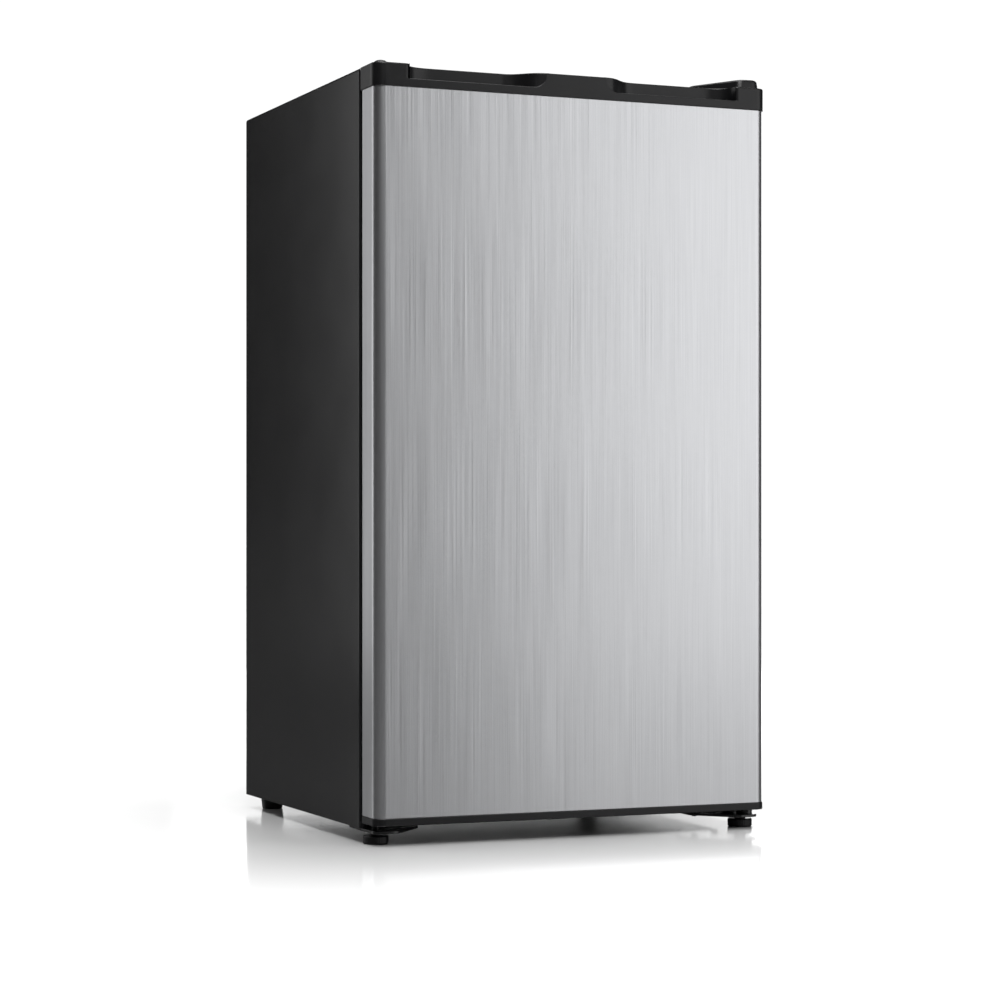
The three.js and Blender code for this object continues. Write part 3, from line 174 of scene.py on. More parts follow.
# %% Insets and rounded edges
def inset(points, distance):
    """Anticlockwise outline moved inwards by each of the distances.

    A corner moves by (m + n) / (1 + m.n), where m and n are the inward normals of its sides, because that
    step has length one along both normals.
    """
    points = np.asarray(points, float)
    along = np.roll(points, -1, axis=0) - points
    along /= np.linalg.norm(along, axis=1, keepdims=True)
    after = np.stack([-along[:, 1], along[:, 0]], -1)
    before = np.roll(after, 1, axis=0)
    step = (before + after) / (1 + (before * after).sum(1, keepdims=True))
    return points + step * np.asarray(distance)[:, None, None]


def round_off(distance, radius):
    """How far a rounded edge falls back at a distance from its end: r - sqrt(r^2 - (r - d)^2)."""
    short = np.clip(radius - np.asarray(distance, float), 0, radius)
    return radius - np.sqrt(radius**2 - short**2)


print("a square of side 4 set in by 1", inset(rectangle(-2, 2, -2, 2), [1])[0].tolist())

# %% [markdown]
# ## Surfaces from grids
#
# A surface is a grid of points: rows follow one parameter and columns the other. A grid becomes faces by
# joining each point to its neighbours. numpy numbers all the points at once, so there is no loop over them.

# %% Grids
ORDER = {"x": [2, 0, 1], "y": [0, 2, 1], "z": [0, 1, 2]}  # (a, b, level) to (x, y, z)


def shell(grid, around=True, ends="filled"):
    """Points and faces of a grid. Columns close round if asked, and the end rows are filled or joined."""
    rows, columns = grid.shape[:2]
    index = np.arange(rows * columns).reshape(rows, columns)
    lids = [index[0][::-1].tolist(), index[-1].tolist()] if ends == "filled" else []
    if ends == "joined":
        index = np.vstack([index, index[:1]])
    if around:
        index = np.hstack([index, index[:, :1]])
    quads = np.stack([index[:-1, :-1], index[:-1, 1:], index[1:, 1:], index[1:, :-1]], -1)
    return grid.reshape(-1, 3), quads.reshape(-1, 4).tolist() + lids


def lifted(outlines, levels, axis):
    """Outlines at their levels as points in space, with the levels along an axis."""
    levels = np.broadcast_to(np.asarray(levels, float)[:, None, None], outlines.shape[:2] + (1,))
    return np.concatenate([outlines, levels], -1)[..., ORDER[axis]]


def drawn_out(section, levels, axis):
    """One outline repeated at each level, as a solid bar."""
    return shell(lifted(np.broadcast_to(section, (len(levels),) + section.shape), levels, axis))


bar = drawn_out(rectangle(0, 1, 0, 1), [0, 1], "z")
print("a bar has", len(bar[0]), "points and", len(bar[1]), "faces")

# %% [markdown]
# ## Moulded forms
#
# Most pieces here are one outline that steps in and out as it rises. A list of (inset, level) pairs says all
# of that. A plate goes out, up and in again. A tray goes out under the floor, up the wall, over the rim and
# down the inside. Its wall leans out a little, so that the real one would leave its mould.


# %% Plates and trays
def moulded(outline, radii, profile, axis="z", steps=6, ends="filled"):
    """Form whose outline is set in by (inset, level) pairs. Corner radii shrink with the inset."""
    depth, level = np.asarray(profile, float).T
    corner = np.maximum(np.broadcast_to(radii, len(outline)) - depth[:, None], 0)
    return shell(lifted(rounded(inset(outline, depth), corner, steps), level, axis), ends=ends)


def slab(outline, radii, low, high, edge, axis="z", steps=6):
    """Solid plate between two levels with its edges rounded."""
    far = 2 * edge
    profile = [(far, low), (0, low), (0, high), (far, high)]
    return moulded(outline, radii, rounded(profile, [0, edge, edge, 0], 5), axis, steps)


def tray(outline, radii, low, high, wall, edge, axis="z", draft=0.0, steps=6):
    """Open container whose wall leans out by the draft. A low level above the high one turns it over."""
    side = 1 if high > low else -1
    lip = wall * 0.49
    profile = [
        (draft + 3 * edge, low),
        (draft, low),
        (0, high),
        (wall, high),
        (draft + wall, low + side * wall),
        (draft + wall + 3 * edge, low + side * wall),
    ]
    return moulded(outline, radii, rounded(profile, [0, edge, lip, lip, edge, 0], 5), axis, steps)


print("a plate has", len(slab(rectangle(-1, 1, -1, 1), 0.2, 0, 1, 0.1)[1]), "faces")

# %% [markdown]
# ## Turned forms
#
# Knobs, feet, the bulb and the compressor are round. Their outline is turned about an axis. Where fingers
# grip, a cosine wave in the radius makes ribs.


# %% Turned forms
def turned(centre, profile, axis="z", around=48, ripple=0.0, ripples=0):
    """Turned form from (radius, level) pairs; the radius may ripple as r (1 + ripple cos(n angle))."""
    radius, level = np.asarray(profile, float).T
    angle = np.linspace(0, 2 * math.pi, around, endpoint=False)
    wave = 1 + ripple * np.cos(ripples * angle)
    ring = np.stack([np.cos(angle) * wave, np.sin(angle) * wave], -1)
    points = lifted(radius[:, None, None] * ring, level, axis)
    return shell(points + np.asarray(centre), ends="open" if radius[0] == 0 == radius[-1] else "filled")


def middle_of(low, high, axis="z"):
    """Middle of a box, with nothing along the axis of turning."""
    return (low + high) / 2 * [name != axis for name in "xyz"]


print("middle of the knob", middle_of(*corners("thermostat_dial"), "y").round(3).tolist())

# %% [markdown]
# ## From faces to a finished piece
#
# Each object gets its finish, rides on the body that it moves with, and may stand for a designed piece. Soft
# edges shade smoothly and real creases stay sharp. A Weighted Normal modifier lets the large flat faces
# decide the shading, so that a small rounded edge doesn't tint a whole panel.

# %% Dressing an object
FINISHES = {}


def dressed(mesh, name, node, slot, replaced, crease):
    """Object for a mesh: its finish, its shading, the body that it moves with, and what it stands for."""
    mesh.materials.clear()
    mesh.materials.append(FINISHES[slot])
    mesh.shade_smooth()
    mesh.set_sharp_from_angle(angle=math.radians(crease))
    made = bpy.data.objects.new(name, mesh)
    bpy.context.scene.collection.objects.link(made)
    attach(made, BODY_OF[node])
    if replaced:
        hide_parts(node)
    print(name, len(mesh.polygons), "faces")
    return made


def even_shading(made):
    """Lets the large faces decide how the edges between them are shaded."""
    modifier = made.modifiers.new("even_shading", "WEIGHTED_NORMAL")
    modifier.keep_sharp = True
    return made


print("bodies to ride on:", ", ".join(sorted(set(BODY_OF.values()))))

# %% [markdown]
# ## A piece from shells
#
# Shells are joined into one object. Double points are merged so that poles and seams close, and the faces
# are turned outwards, or inwards for a sheet that is thickened later.


# %% Making a piece
def piece(name, node, slot, shells, replaced=True, inward=False, crease=32):
    """One object from shells, riding where the designed piece rides, and standing for it if replaced."""
    starts = np.cumsum([0] + [len(points) for points, _ in shells])
    faces = [[i + start for i in face] for (_, part), start in zip(shells, starts.tolist()) for face in part]
    mesh = bpy.data.meshes.new(name)
    mesh.from_pydata(np.vstack([points for points, _ in shells]).tolist(), [], faces)
    work = bmesh.new()
    work.from_mesh(mesh)
    bmesh.ops.remove_doubles(work, verts=work.verts, dist=1e-6)
    bmesh.ops.recalc_face_normals(work, faces=work.faces)
    if inward:
        bmesh.ops.reverse_faces(work, faces=work.faces)
    work.to_mesh(mesh)
    work.free()
    return even_shading(dressed(mesh, name, node, slot, replaced, crease))


# %% [markdown]
# ## A piece from its solid
#
# Brackets and folded sheets have the right form already. A copy of such a solid is merged into one clean
# mesh, and a Bevel modifier breaks its edges, as tumbling or painting does on the real part.


# %% Easing the edges of a solid
def eased(node, slot, width=0.5 * mm, segments=2, crease=32):
    """Copy of a designed piece whose double points are merged and whose sharp edges get a small bevel."""
    mesh = nodes[node].data.copy()
    work = bmesh.new()
    work.from_mesh(mesh)
    bmesh.ops.remove_doubles(work, verts=work.verts, dist=0.01 * mm)
    bmesh.ops.dissolve_limit(work, angle_limit=math.radians(1), verts=work.verts, edges=work.edges)
    work.to_mesh(mesh)
    work.free()
    made = dressed(mesh, "eased_" + node, node, slot, True, crease)
    if width:
        bevel = made.modifiers.new("eased_edges", "BEVEL")
        bevel.width = width
        bevel.segments = segments
        bevel.limit_method = "ANGLE"
        bevel.angle_limit = math.radians(crease)
    return even_shading(made)


# %% [markdown]
# ## Building finishes
#
# Every finish is one Principled shader. What is the same all over is set on the shader itself. What varies,
# such as brush marks, orange peel in the paint or the bloom of zinc, comes from noise over the piece's own
# coordinates, in waves to the metre, so that its scale is the real one.


# %% A finish and its noise
def finish(slot, colour, roughness, **values):
    """New material named after its slot, with one shader and its even values."""
    made = bpy.data.materials.new(slot)
    made.use_nodes = True
    shader = made.node_tree.nodes["Principled BSDF"]
    shader.inputs["Base Color"].default_value = (*colour, 1)
    shader.inputs["Roughness"].default_value = roughness
    for name, value in values.items():
        shader.inputs[name.replace("_", " ")].default_value = value
    FINISHES[slot] = made
    return made.node_tree, shader


def noise(tree, scale, detail=2.0, stretch=(1, 1, 1)):
    """Noise with `scale` waves to the metre, drawn out along each axis by the stretch."""
    place = tree.nodes.new("ShaderNodeTexCoord")
    sized = tree.nodes.new("ShaderNodeMapping")
    sized.inputs["Scale"].default_value = [1 / s for s in stretch]
    pattern = tree.nodes.new("ShaderNodeTexNoise")
    pattern.inputs["Scale"].default_value = scale
    pattern.inputs["Detail"].default_value = detail
    tree.links.new(place.outputs["Object"], sized.inputs["Vector"])
    tree.links.new(sized.outputs["Vector"], pattern.inputs["Vector"])
    return pattern.outputs["Fac"]


# %% [markdown]
# ## What noise can do
#
# Noise can move the colour between two tones, make the gloss wander, or raise a fine relief. Its values lie
# mostly between 0.3 and 0.7, so that stretch is spread over the wanted range first.


# %% Colour, gloss and relief from noise
def ranged(tree, value, low, high):
    """The middle of a pattern spread over low to high."""
    spread = tree.nodes.new("ShaderNodeMapRange")
    for name, number in (("From Min", 0.3), ("From Max", 0.7), ("To Min", low), ("To Max", high)):
        spread.inputs[name].default_value = number
    tree.links.new(value, spread.inputs["Value"])
    return spread.outputs["Result"]


def tinted(tree, shader, value, dark, light):
    """Base colour that runs between two tones with a pattern."""
    mix = tree.nodes.new("ShaderNodeMix")
    mix.data_type = "RGBA"
    mix.inputs["A"].default_value = (*dark, 1)
    mix.inputs["B"].default_value = (*light, 1)
    tree.links.new(ranged(tree, value, 0, 1), mix.inputs["Factor"])
    tree.links.new(mix.outputs["Result"], shader.inputs["Base Color"])


def rough(tree, shader, value, low, high):
    """Roughness that wanders between two values."""
    tree.links.new(ranged(tree, value, low, high), shader.inputs["Roughness"])


def relief(tree, shader, height, depth):
    """Bump of a pattern, `depth` metres from its lowest to its highest."""
    bump = tree.nodes.new("ShaderNodeBump")
    bump.inputs["Distance"].default_value = depth
    tree.links.new(height, bump.inputs["Height"])
    tree.links.new(bump.outputs["Normal"], shader.inputs["Normal"])


# %% [markdown]
# ## Brushed steel
#
# The door is stainless steel brushed up and down. Each groove tilts the surface a little to the left or the
# right and never up or down, so the lights melt sideways into one long gradient. Here noise drawn out along
# the height tilts the normal itself. The tilt is the same at every distance, which a bump's isn't.

# %% Brushed steel
GRAIN = (1, 1, 1500)  # brush marks are drawn out along the height
BLEND = (1, 1, 200)  # so are the faint bands of tone between them
TILT = 0.36  # sideways tilt of the normal for a full step of the noise


def grooved(tree, shader, strokes, tilt):
    """Normal n + (noise - 1/2) * tilt, with the noise in x and y only, brought back to length one."""
    middle = tree.nodes.new("ShaderNodeVectorMath")
    middle.operation = "SUBTRACT"
    middle.inputs[1].default_value = (0.5, 0.5, 0.5)
    level = tree.nodes.new("ShaderNodeVectorMath")
    level.operation = "MULTIPLY_ADD"
    level.inputs[1].default_value = (tilt, tilt, 0)
    unit = tree.nodes.new("ShaderNodeVectorMath")
    unit.operation = "NORMALIZE"
    surface = tree.nodes.new("ShaderNodeNewGeometry")
    tree.links.new(strokes, middle.inputs[0])
    tree.links.new(middle.outputs["Vector"], level.inputs[0])
    tree.links.new(surface.outputs["Normal"], level.inputs[2])
    tree.links.new(level.outputs["Vector"], unit.inputs[0])
    tree.links.new(unit.outputs["Vector"], shader.inputs["Normal"])


tree, shader = finish("brushed_steel", (0.6, 0.605, 0.62), 0.31, Metallic=1.0)
strokes = noise(tree, 6500, 2, GRAIN)
tinted(tree, shader, noise(tree, 1300, 2, BLEND), (0.55, 0.555, 0.57), (0.605, 0.61, 0.625))
rough(tree, shader, strokes, 0.28, 0.34)
grooved(tree, shader, strokes.node.outputs["Color"], TILT)
print("finishes so far:", ", ".join(FINISHES))

# %% [markdown]
# ## Paints
#
# The cabinet has smooth black paint with the faint orange peel of a sprayed panel. The back is a cheaper,
# matt paint. The compressor is dipped in glossy black, which is a dull layer under a clear coat here.

# %% Paints
tree, shader = finish("cabinet_paint", (0.007, 0.007, 0.0075), 0.19, Specular_IOR_Level=0.7)
tinted(tree, shader, noise(tree, 5, 3), (0.0065, 0.0065, 0.007), (0.008, 0.008, 0.0085))
rough(tree, shader, noise(tree, 14, 2), 0.185, 0.2)
relief(tree, shader, noise(tree, 420, 2), 0.002 * mm)

tree, shader = finish("rear_panel_paint", (0.03, 0.03, 0.031), 0.5)
tinted(tree, shader, noise(tree, 7, 4), (0.024, 0.024, 0.025), (0.038, 0.038, 0.04))
rough(tree, shader, noise(tree, 40, 3), 0.42, 0.58)
relief(tree, shader, noise(tree, 900, 2), 0.02 * mm)

tree, shader = finish("compressor_paint", (0.01, 0.01, 0.01), 0.22, Coat_Weight=0.5, Coat_Roughness=0.1)
tinted(tree, shader, noise(tree, 30, 3), (0.008, 0.008, 0.008), (0.018, 0.018, 0.018))
relief(tree, shader, noise(tree, 260, 2), 0.05 * mm)
print("finishes so far:", ", ".join(FINISHES))

# %% [markdown]
# ## Bare metals
#
# Zinc plating has a cloudy bloom. Rolled aluminium has faint lines across, from the rolls. Copper tube
# darkens in patches where hands and heat have touched it.

# %% Bare metals
ROLLING = (60, 1, 1)  # rolling lines run from side to side

tree, shader = finish("zinc_plated_steel", (0.6, 0.61, 0.63), 0.38, Metallic=1.0)
tinted(tree, shader, noise(tree, 110, 4), (0.48, 0.49, 0.5), (0.7, 0.7, 0.69))
rough(tree, shader, noise(tree, 190, 3), 0.28, 0.5)
relief(tree, shader, noise(tree, 1500, 2), 0.01 * mm)

tree, shader = finish("rolled_aluminium", (0.78, 0.79, 0.8), 0.36, Metallic=1.0)
tinted(tree, shader, noise(tree, 70, 4, (12, 1, 1)), (0.66, 0.67, 0.68), (0.83, 0.84, 0.85))
rough(tree, shader, noise(tree, 900, 3, ROLLING), 0.3, 0.46)
relief(tree, shader, noise(tree, 900, 3, ROLLING), 0.02 * mm)

tree, shader = finish("copper", (0.72, 0.4, 0.27), 0.3, Metallic=1.0)
tinted(tree, shader, noise(tree, 120, 4), (0.42, 0.2, 0.12), (0.78, 0.45, 0.31))
rough(tree, shader, noise(tree, 300, 3), 0.22, 0.45)
print("finishes so far:", ", ".join(FINISHES))

# %% [markdown]
# ## Moulded plastics
#
# Moulded black plastic has a fine spark-eroded texture that breaks up its gloss. Vacuum-formed white sheet
# is smooth, and its tone and gloss wander only a little.

# %% Moulded plastics
tree, shader = finish("black_plastic", (0.006, 0.006, 0.0065), 0.3, Specular_IOR_Level=0.32)
tinted(tree, shader, noise(tree, 20, 3), (0.0055, 0.0055, 0.006), (0.0075, 0.0075, 0.008))
rough(tree, shader, noise(tree, 130, 3), 0.28, 0.33)
relief(tree, shader, noise(tree, 2200, 2), 0.004 * mm)

tree, shader = finish("white_plastic", (0.86, 0.87, 0.865), 0.3)
tinted(tree, shader, noise(tree, 6, 2), (0.85, 0.86, 0.855), (0.87, 0.88, 0.875))
rough(tree, shader, noise(tree, 14, 2), 0.28, 0.32)
print("finishes so far:", ", ".join(FINISHES))

# %% [markdown]
# ## Clear pieces
#
# Glass and clear plastic are partly see-through (alpha) and partly refracting. Light then passes straight
# through thin walls, as it nearly does in a real one, and reaches the back of the cabin. The shelves' glass
# is slightly green, and the flap's plastic is frosted.

# %% Clear pieces
PLASTIC_IOR = 1.49
GLASS_IOR = 1.5
CLEAR = dict(Transmission_Weight=0.9, IOR=PLASTIC_IOR, Alpha=0.45)
GREENISH = dict(Transmission_Weight=0.92, IOR=GLASS_IOR, Alpha=0.5)

tree, shader = finish("frosted_plastic", (0.84, 0.9, 0.93), 0.42, Transmission_Weight=0.55, IOR=PLASTIC_IOR)
rough(tree, shader, noise(tree, 260, 3), 0.36, 0.5)
relief(tree, shader, noise(tree, 1400, 2), 0.03 * mm)

tree, shader = finish("clear_plastic", (0.95, 0.98, 0.99), 0.07, **CLEAR)
rough(tree, shader, noise(tree, 25, 3), 0.05, 0.1)

tree, shader = finish("shelf_glass", (0.84, 0.96, 0.92), 0.03, **GREENISH)
rough(tree, shader, noise(tree, 9, 3), 0.02, 0.05)

tree, shader = finish("lamp_glass", (1.0, 0.98, 0.93), 0.2, Transmission_Weight=0.8, IOR=GLASS_IOR)
rough(tree, shader, noise(tree, 200, 2), 0.16, 0.26)
print("finishes so far:", ", ".join(FINISHES))

# %% [markdown]
# ## Rubber and foam
#
# The compressor's mounts are matt rubber, and the door's seal is a smoother, softer one. The foam in the
# walls is yellow with a cut, open surface.

# %% Rubber and foam
tree, shader = finish("rubber", (0.022, 0.022, 0.022), 0.75)
tinted(tree, shader, noise(tree, 150, 4), (0.018, 0.018, 0.018), (0.034, 0.034, 0.033))
relief(tree, shader, noise(tree, 1300, 3), 0.05 * mm)

tree, shader = finish("gasket_rubber", (0.035, 0.035, 0.036), 0.55)
tinted(tree, shader, noise(tree, 60, 3), (0.028, 0.028, 0.029), (0.045, 0.045, 0.046))
relief(tree, shader, noise(tree, 700, 2), 0.03 * mm)

tree, shader = finish("insulating_foam", (0.78, 0.66, 0.38), 0.95)
tinted(tree, shader, noise(tree, 140, 4), (0.62, 0.5, 0.26), (0.86, 0.75, 0.48))
relief(tree, shader, noise(tree, 600, 4), 0.4 * mm)
print("finishes:", ", ".join(FINISHES))

# %% [markdown]
# ## Designed pieces that stay
#
# Pieces inside the walls keep their solids. Each still gets the finish of its slot, because a cut-away or
# an opened part may show it.

# %% Finishes on the designed pieces
for subpart in frame["record"]["subparts"]:
    mesh = nodes[subpart["node"]].data
    mesh.materials.clear()
    mesh.materials.append(FINISHES[subpart["material_slot"]])

# %% [markdown]
# ## Cabinet sheet
#
# The cabinet is one strip of painted steel bent over the top in an upside-down U, with flanges turned in at
# the front and the back. Its section is a closed C, carried along the U. Each point of the section is set
# in from the U by its own distance, so the bends keep their real inner and outer radii.

# %% Cabinet sheet
SHEET = 1 * mm
ROOF_BEND = 4 * mm
FLANGE_BEND = 1.6 * mm
REAR_FLANGE = 14 * mm

low, high = corners("outer_shell")
liner_high = corners("inner_liner")[1]
flange = (high[0] - liner_high[0] - GAP, high[2] - liner_high[2] - GAP)  # at the sides, on top


def arch(section, half, top, bottom, bend, roof=1.0):
    """Closed section (inset, y) carried along an upside-down U.

    The point at inset s runs on the U moved in by s, and by s times `roof` at the top. The bend's radius
    shrinks with the inset.
    """
    side = section[:, 0]
    under = top - side * roof
    foot = np.full_like(side, bottom)
    path = [(side - half, foot), (side - half, under), (half - side, under), (half - side, foot)]
    path = np.stack([np.stack(point, -1) for point in path], 1)
    radii = np.maximum(bend - side, 0)[:, None] * [0, 1, 1, 0]
    return shell(lifted(rounded(path, radii, 9), section[:, 1], "y").transpose(1, 0, 2))


def cabinet_sheet():
    """C section of the sheet: front flange, side, rear flange, and back one sheet thickness further in."""
    section = [
        (flange[0], low[1]),
        (0, low[1]),
        (0, high[1]),
        (REAR_FLANGE, high[1]),
        (REAR_FLANGE, high[1] - SHEET),
        (SHEET, high[1] - SHEET),
        (SHEET, low[1] + SHEET),
        (flange[0], low[1] + SHEET),
    ]
    inner = FLANGE_BEND - SHEET
    section = rounded(section, [0, FLANGE_BEND, FLANGE_BEND, 0, 0, inner, inner, 0], 5)
    return arch(section, high[0], high[2], low[2], ROOF_BEND, flange[1] / flange[0])


piece("cabinet_wrap", "outer_shell", "cabinet_paint", [cabinet_sheet()])

# %% [markdown]
# ## Back panel
#
# The back closes the cabinet with a flat sheet, stiffened by three long beads pressed into it. A bead is a
# smooth rise in the height of the sheet, so the sheet is a grid whose depth is a function of its place.

# %% Back panel
BEAD_HALF = 9 * mm
BEAD_SLOPE = 4 * mm
BEAD_PITCH = 125 * mm
BEAD_MIDDLES = (-BEAD_PITCH, 0, BEAD_PITCH)
BEAD_ENDS = (90 * mm, 70 * mm)  # plain sheet below and above the beads


def smooth(value):
    """Smooth step from 0 to 1: 3 t^2 - 2 t^3."""
    t = np.clip(value, 0, 1)
    return t * t * (3 - 2 * t)


def bead_columns():
    """Grid lines close together on the slopes of the beads."""
    slopes = np.linspace(BEAD_HALF - BEAD_SLOPE, BEAD_HALF, 6)
    return np.concatenate([middle + side * slopes for middle in BEAD_MIDDLES for side in (-1, 1)])


def back_sheet(low, high):
    """Closed sheet over x and z that stands out where the distance to a bead's middle line is small."""
    x = np.unique(np.concatenate([np.linspace(low[0], high[0], 60), bead_columns()]))
    z = np.linspace(low[2], high[2], 160)
    across, up = np.meshgrid(x, z, indexing="ij")
    rise = np.zeros_like(across)
    for middle in BEAD_MIDDLES:
        past = np.clip(np.maximum(low[2] + BEAD_ENDS[0] - up, up - high[2] + BEAD_ENDS[1]), 0, None)
        distance = np.hypot(across - middle, past)
        rise = np.maximum(rise, smooth((BEAD_HALF - distance) / BEAD_SLOPE))
    face = np.stack([across, high[1] - SHEET + rise * SHEET, up], -1)
    back = np.stack([across, np.full_like(across, low[1]), up], -1)
    return shell(np.concatenate([face, back[:, ::-1]], 1))


piece("pressed_back_panel", "back_panel", "rear_panel_paint", [back_sheet(*corners("back_panel"))])

# %% [markdown]
# ## Screws
#
# A pan head is a low dome with a cross pressed into it. The dome is a grid in polar coordinates, and the
# cross is cut by lowering the points near the two lines of the cross.

# %% Screws
SCREW_EDGE = 8 * mm  # from the edge of the sheet to a screw
SCREW_ROWS = 5
HEAD_RADIUS = 3 * mm
HEAD_RISE = 0.95 * mm
HEAD_FOOT = 0.6 * mm  # how deep the head reaches into the sheet
HEAD_AROUND = 40
CROSS_HALF, CROSS_SLOPE = 0.17, 0.07  # half width of the cross and its slope, as shares of the radius
CROSS_REACH, CROSS_END = 0.62, 0.12  # its reach and the slope at its ends, likewise
CROSS_DEPTH = 0.75  # as a share of the height


def pan_head(centre):
    """Dome of height h (1 - (r / R)^2)^0.6 that faces +y, lowered along two crossed lines."""
    share = np.concatenate([[0], np.linspace(0.06, 1, 12)])
    angle = np.linspace(0, 2 * math.pi, HEAD_AROUND, endpoint=False)
    r, turn = np.meshgrid(share, angle, indexing="ij")
    a, b = r * np.cos(turn), r * np.sin(turn)
    height = (1 - np.minimum(r, 0.999) ** 2) ** 0.6
    cross = smooth((CROSS_HALF - np.minimum(abs(a), abs(b))) / CROSS_SLOPE)
    cross *= smooth((CROSS_REACH - r) / CROSS_END)
    level = HEAD_RISE * (height - CROSS_DEPTH * cross)
    level = np.vstack([level, np.full(HEAD_AROUND, -HEAD_FOOT)])
    a, b = [np.vstack([part, part[-1:]]) * HEAD_RADIUS for part in (a, b)]
    points, faces = shell(np.stack([a, b, level], -1)[..., ORDER["y"]] + np.asarray(centre), ends="open")
    lid = np.arange(len(points) - HEAD_AROUND, len(points))
    return points, faces + [lid.tolist()]


low, high = corners("back_panel")
rows = np.linspace(low[2] + SCREW_EDGE, high[2] - SCREW_EDGE, SCREW_ROWS)
places = [(side * (high[0] - SCREW_EDGE), z) for z in rows for side in (-1, 1)]
places += [(side * BEAD_PITCH / 2, z) for side in (-1, 1) for z in (rows[0], rows[-1])]
heads = [pan_head((x, high[1] - SHEET, z)) for x, z in places]
piece("back_panel_screws", "back_panel", "zinc_plated_steel", heads, replaced=False)
print(len(heads), "screws on the back")

# %% [markdown]
# ## Door skin
#
# The door's front is one sheet of stainless steel that wraps round both sides with a 12 mm bend and turns
# in behind them. Its section seen from above is a closed band, and the door is that band drawn upwards.

# %% Door skin
SKIN = 0.8 * mm
SKIN_BEND = 12 * mm
SKIN_RETURN = 10 * mm
RETURN_BEND = 1.5 * mm
skin_low, skin_high = corners("door_skin")


def door_wrap(low, high):
    """Band between two parallel bent lines, one sheet thickness apart, drawn from bottom to top."""
    t, bend = SKIN, RETURN_BEND
    outside = [(high[0] - SKIN_RETURN, high[1]), (high[0], high[1]), (high[0], low[1]), (low[0], low[1])]
    outside += [(low[0], high[1]), (low[0] + SKIN_RETURN, high[1])]
    inside = [(low[0] + SKIN_RETURN, high[1] - t), (low[0] + t, high[1] - t), (low[0] + t, low[1] + t)]
    inside += [(high[0] - t, low[1] + t), (high[0] - t, high[1] - t), (high[0] - SKIN_RETURN, high[1] - t)]
    radii = [0, bend, SKIN_BEND, SKIN_BEND, bend, 0]
    radii += [0, bend - t, SKIN_BEND - t, SKIN_BEND - t, bend - t, 0]
    band = rounded(np.array(outside + inside), radii, 14)
    return drawn_out(band, np.linspace(low[2], high[2], 5), "z")


piece("brushed_door_front", "door_skin", "brushed_steel", [door_wrap(skin_low, skin_high)])

# %% [markdown]
# ## Grip cap: the finger grips
#
# The black cap along the top of the door holds two finger grips. Each is a pocket behind a thin lip: its
# back wall swings in from the front in an S and runs out in a quarter bend. Both curves are Bezier curves,
# cubic for the S and quadratic for the bend.

# %% Depth of the grips
GRIP_INNER = 34 * mm  # a grip begins this far from the middle of the door
GRIP_OUTER = 196 * mm  # and ends here
GRIP_SWEEP_IN = 46 * mm
GRIP_SWEEP_OUT = 31 * mm
GRIP_DEPTH = 23 * mm


def grip_depth(x):
    """Depth of the back wall behind the front: a cubic S inwards, then a quadratic quarter bend outwards."""
    t = np.linspace(0, 1, 60)
    middle = GRIP_INNER + GRIP_SWEEP_IN / 2
    inner = GRIP_INNER * (1 - t) ** 3 + 3 * middle * t * (1 - t) + (GRIP_INNER + GRIP_SWEEP_IN) * t**3
    swing = GRIP_DEPTH * (3 * t**2 * (1 - t) + t**3)
    start = GRIP_OUTER - GRIP_SWEEP_OUT
    outer = start * (1 - t) ** 2 + 2 * GRIP_OUTER * t * (1 - t) + GRIP_OUTER * t**2
    bend = GRIP_DEPTH * (1 - t**2)
    return np.interp(abs(x), np.append(inner, outer), np.append(swing, bend), left=0, right=0)


print("a grip is", round(float(grip_depth(0.1)) / mm, 1), "mm deep 0.1 m from the middle")

# %% [markdown]
# ## Grip cap: the sections
#
# The cap is a loft: at every place along the width there is one closed section. All sections have the same
# corners in the same order, so a pocket opens and closes smoothly where its corners move apart. Where there
# is no pocket, its spare corners lie on the front and on the rounded upper edge.

# %% Sections of the grip cap
GRIP_LIP = 4 * mm
GRIP_LIP_HEIGHT = 9 * mm
GRIP_ROUND = 18 * mm  # the lip comes down from the middle block in this radius
GRIP_WALL = 3 * mm
GRIP_SLOPE = 2 * mm
NARROW = 0.05 * mm  # corners that meet are kept this far apart
CAP_CORNER = 13.5 * mm
CAP_REAR_CORNER = 4 * mm
CAP_EDGE = 1.4 * mm
CAP_LOWER_EDGE = 0.8 * mm
BOSS_EDGE = 4 * mm
CAP_RADII = np.array([0.8, 1.2, 1.2, 2.5, 1.0, 1.1, 1.1, 0.8, 0, 0.8, 0.8, 0]) * mm
cap_low, cap_high = corners("door_top_cap")
z_under = skin_high[2] + GAP
z_floor = cap_low[2] + GRIP_WALL
z_lip = z_under + GRIP_LIP_HEIGHT


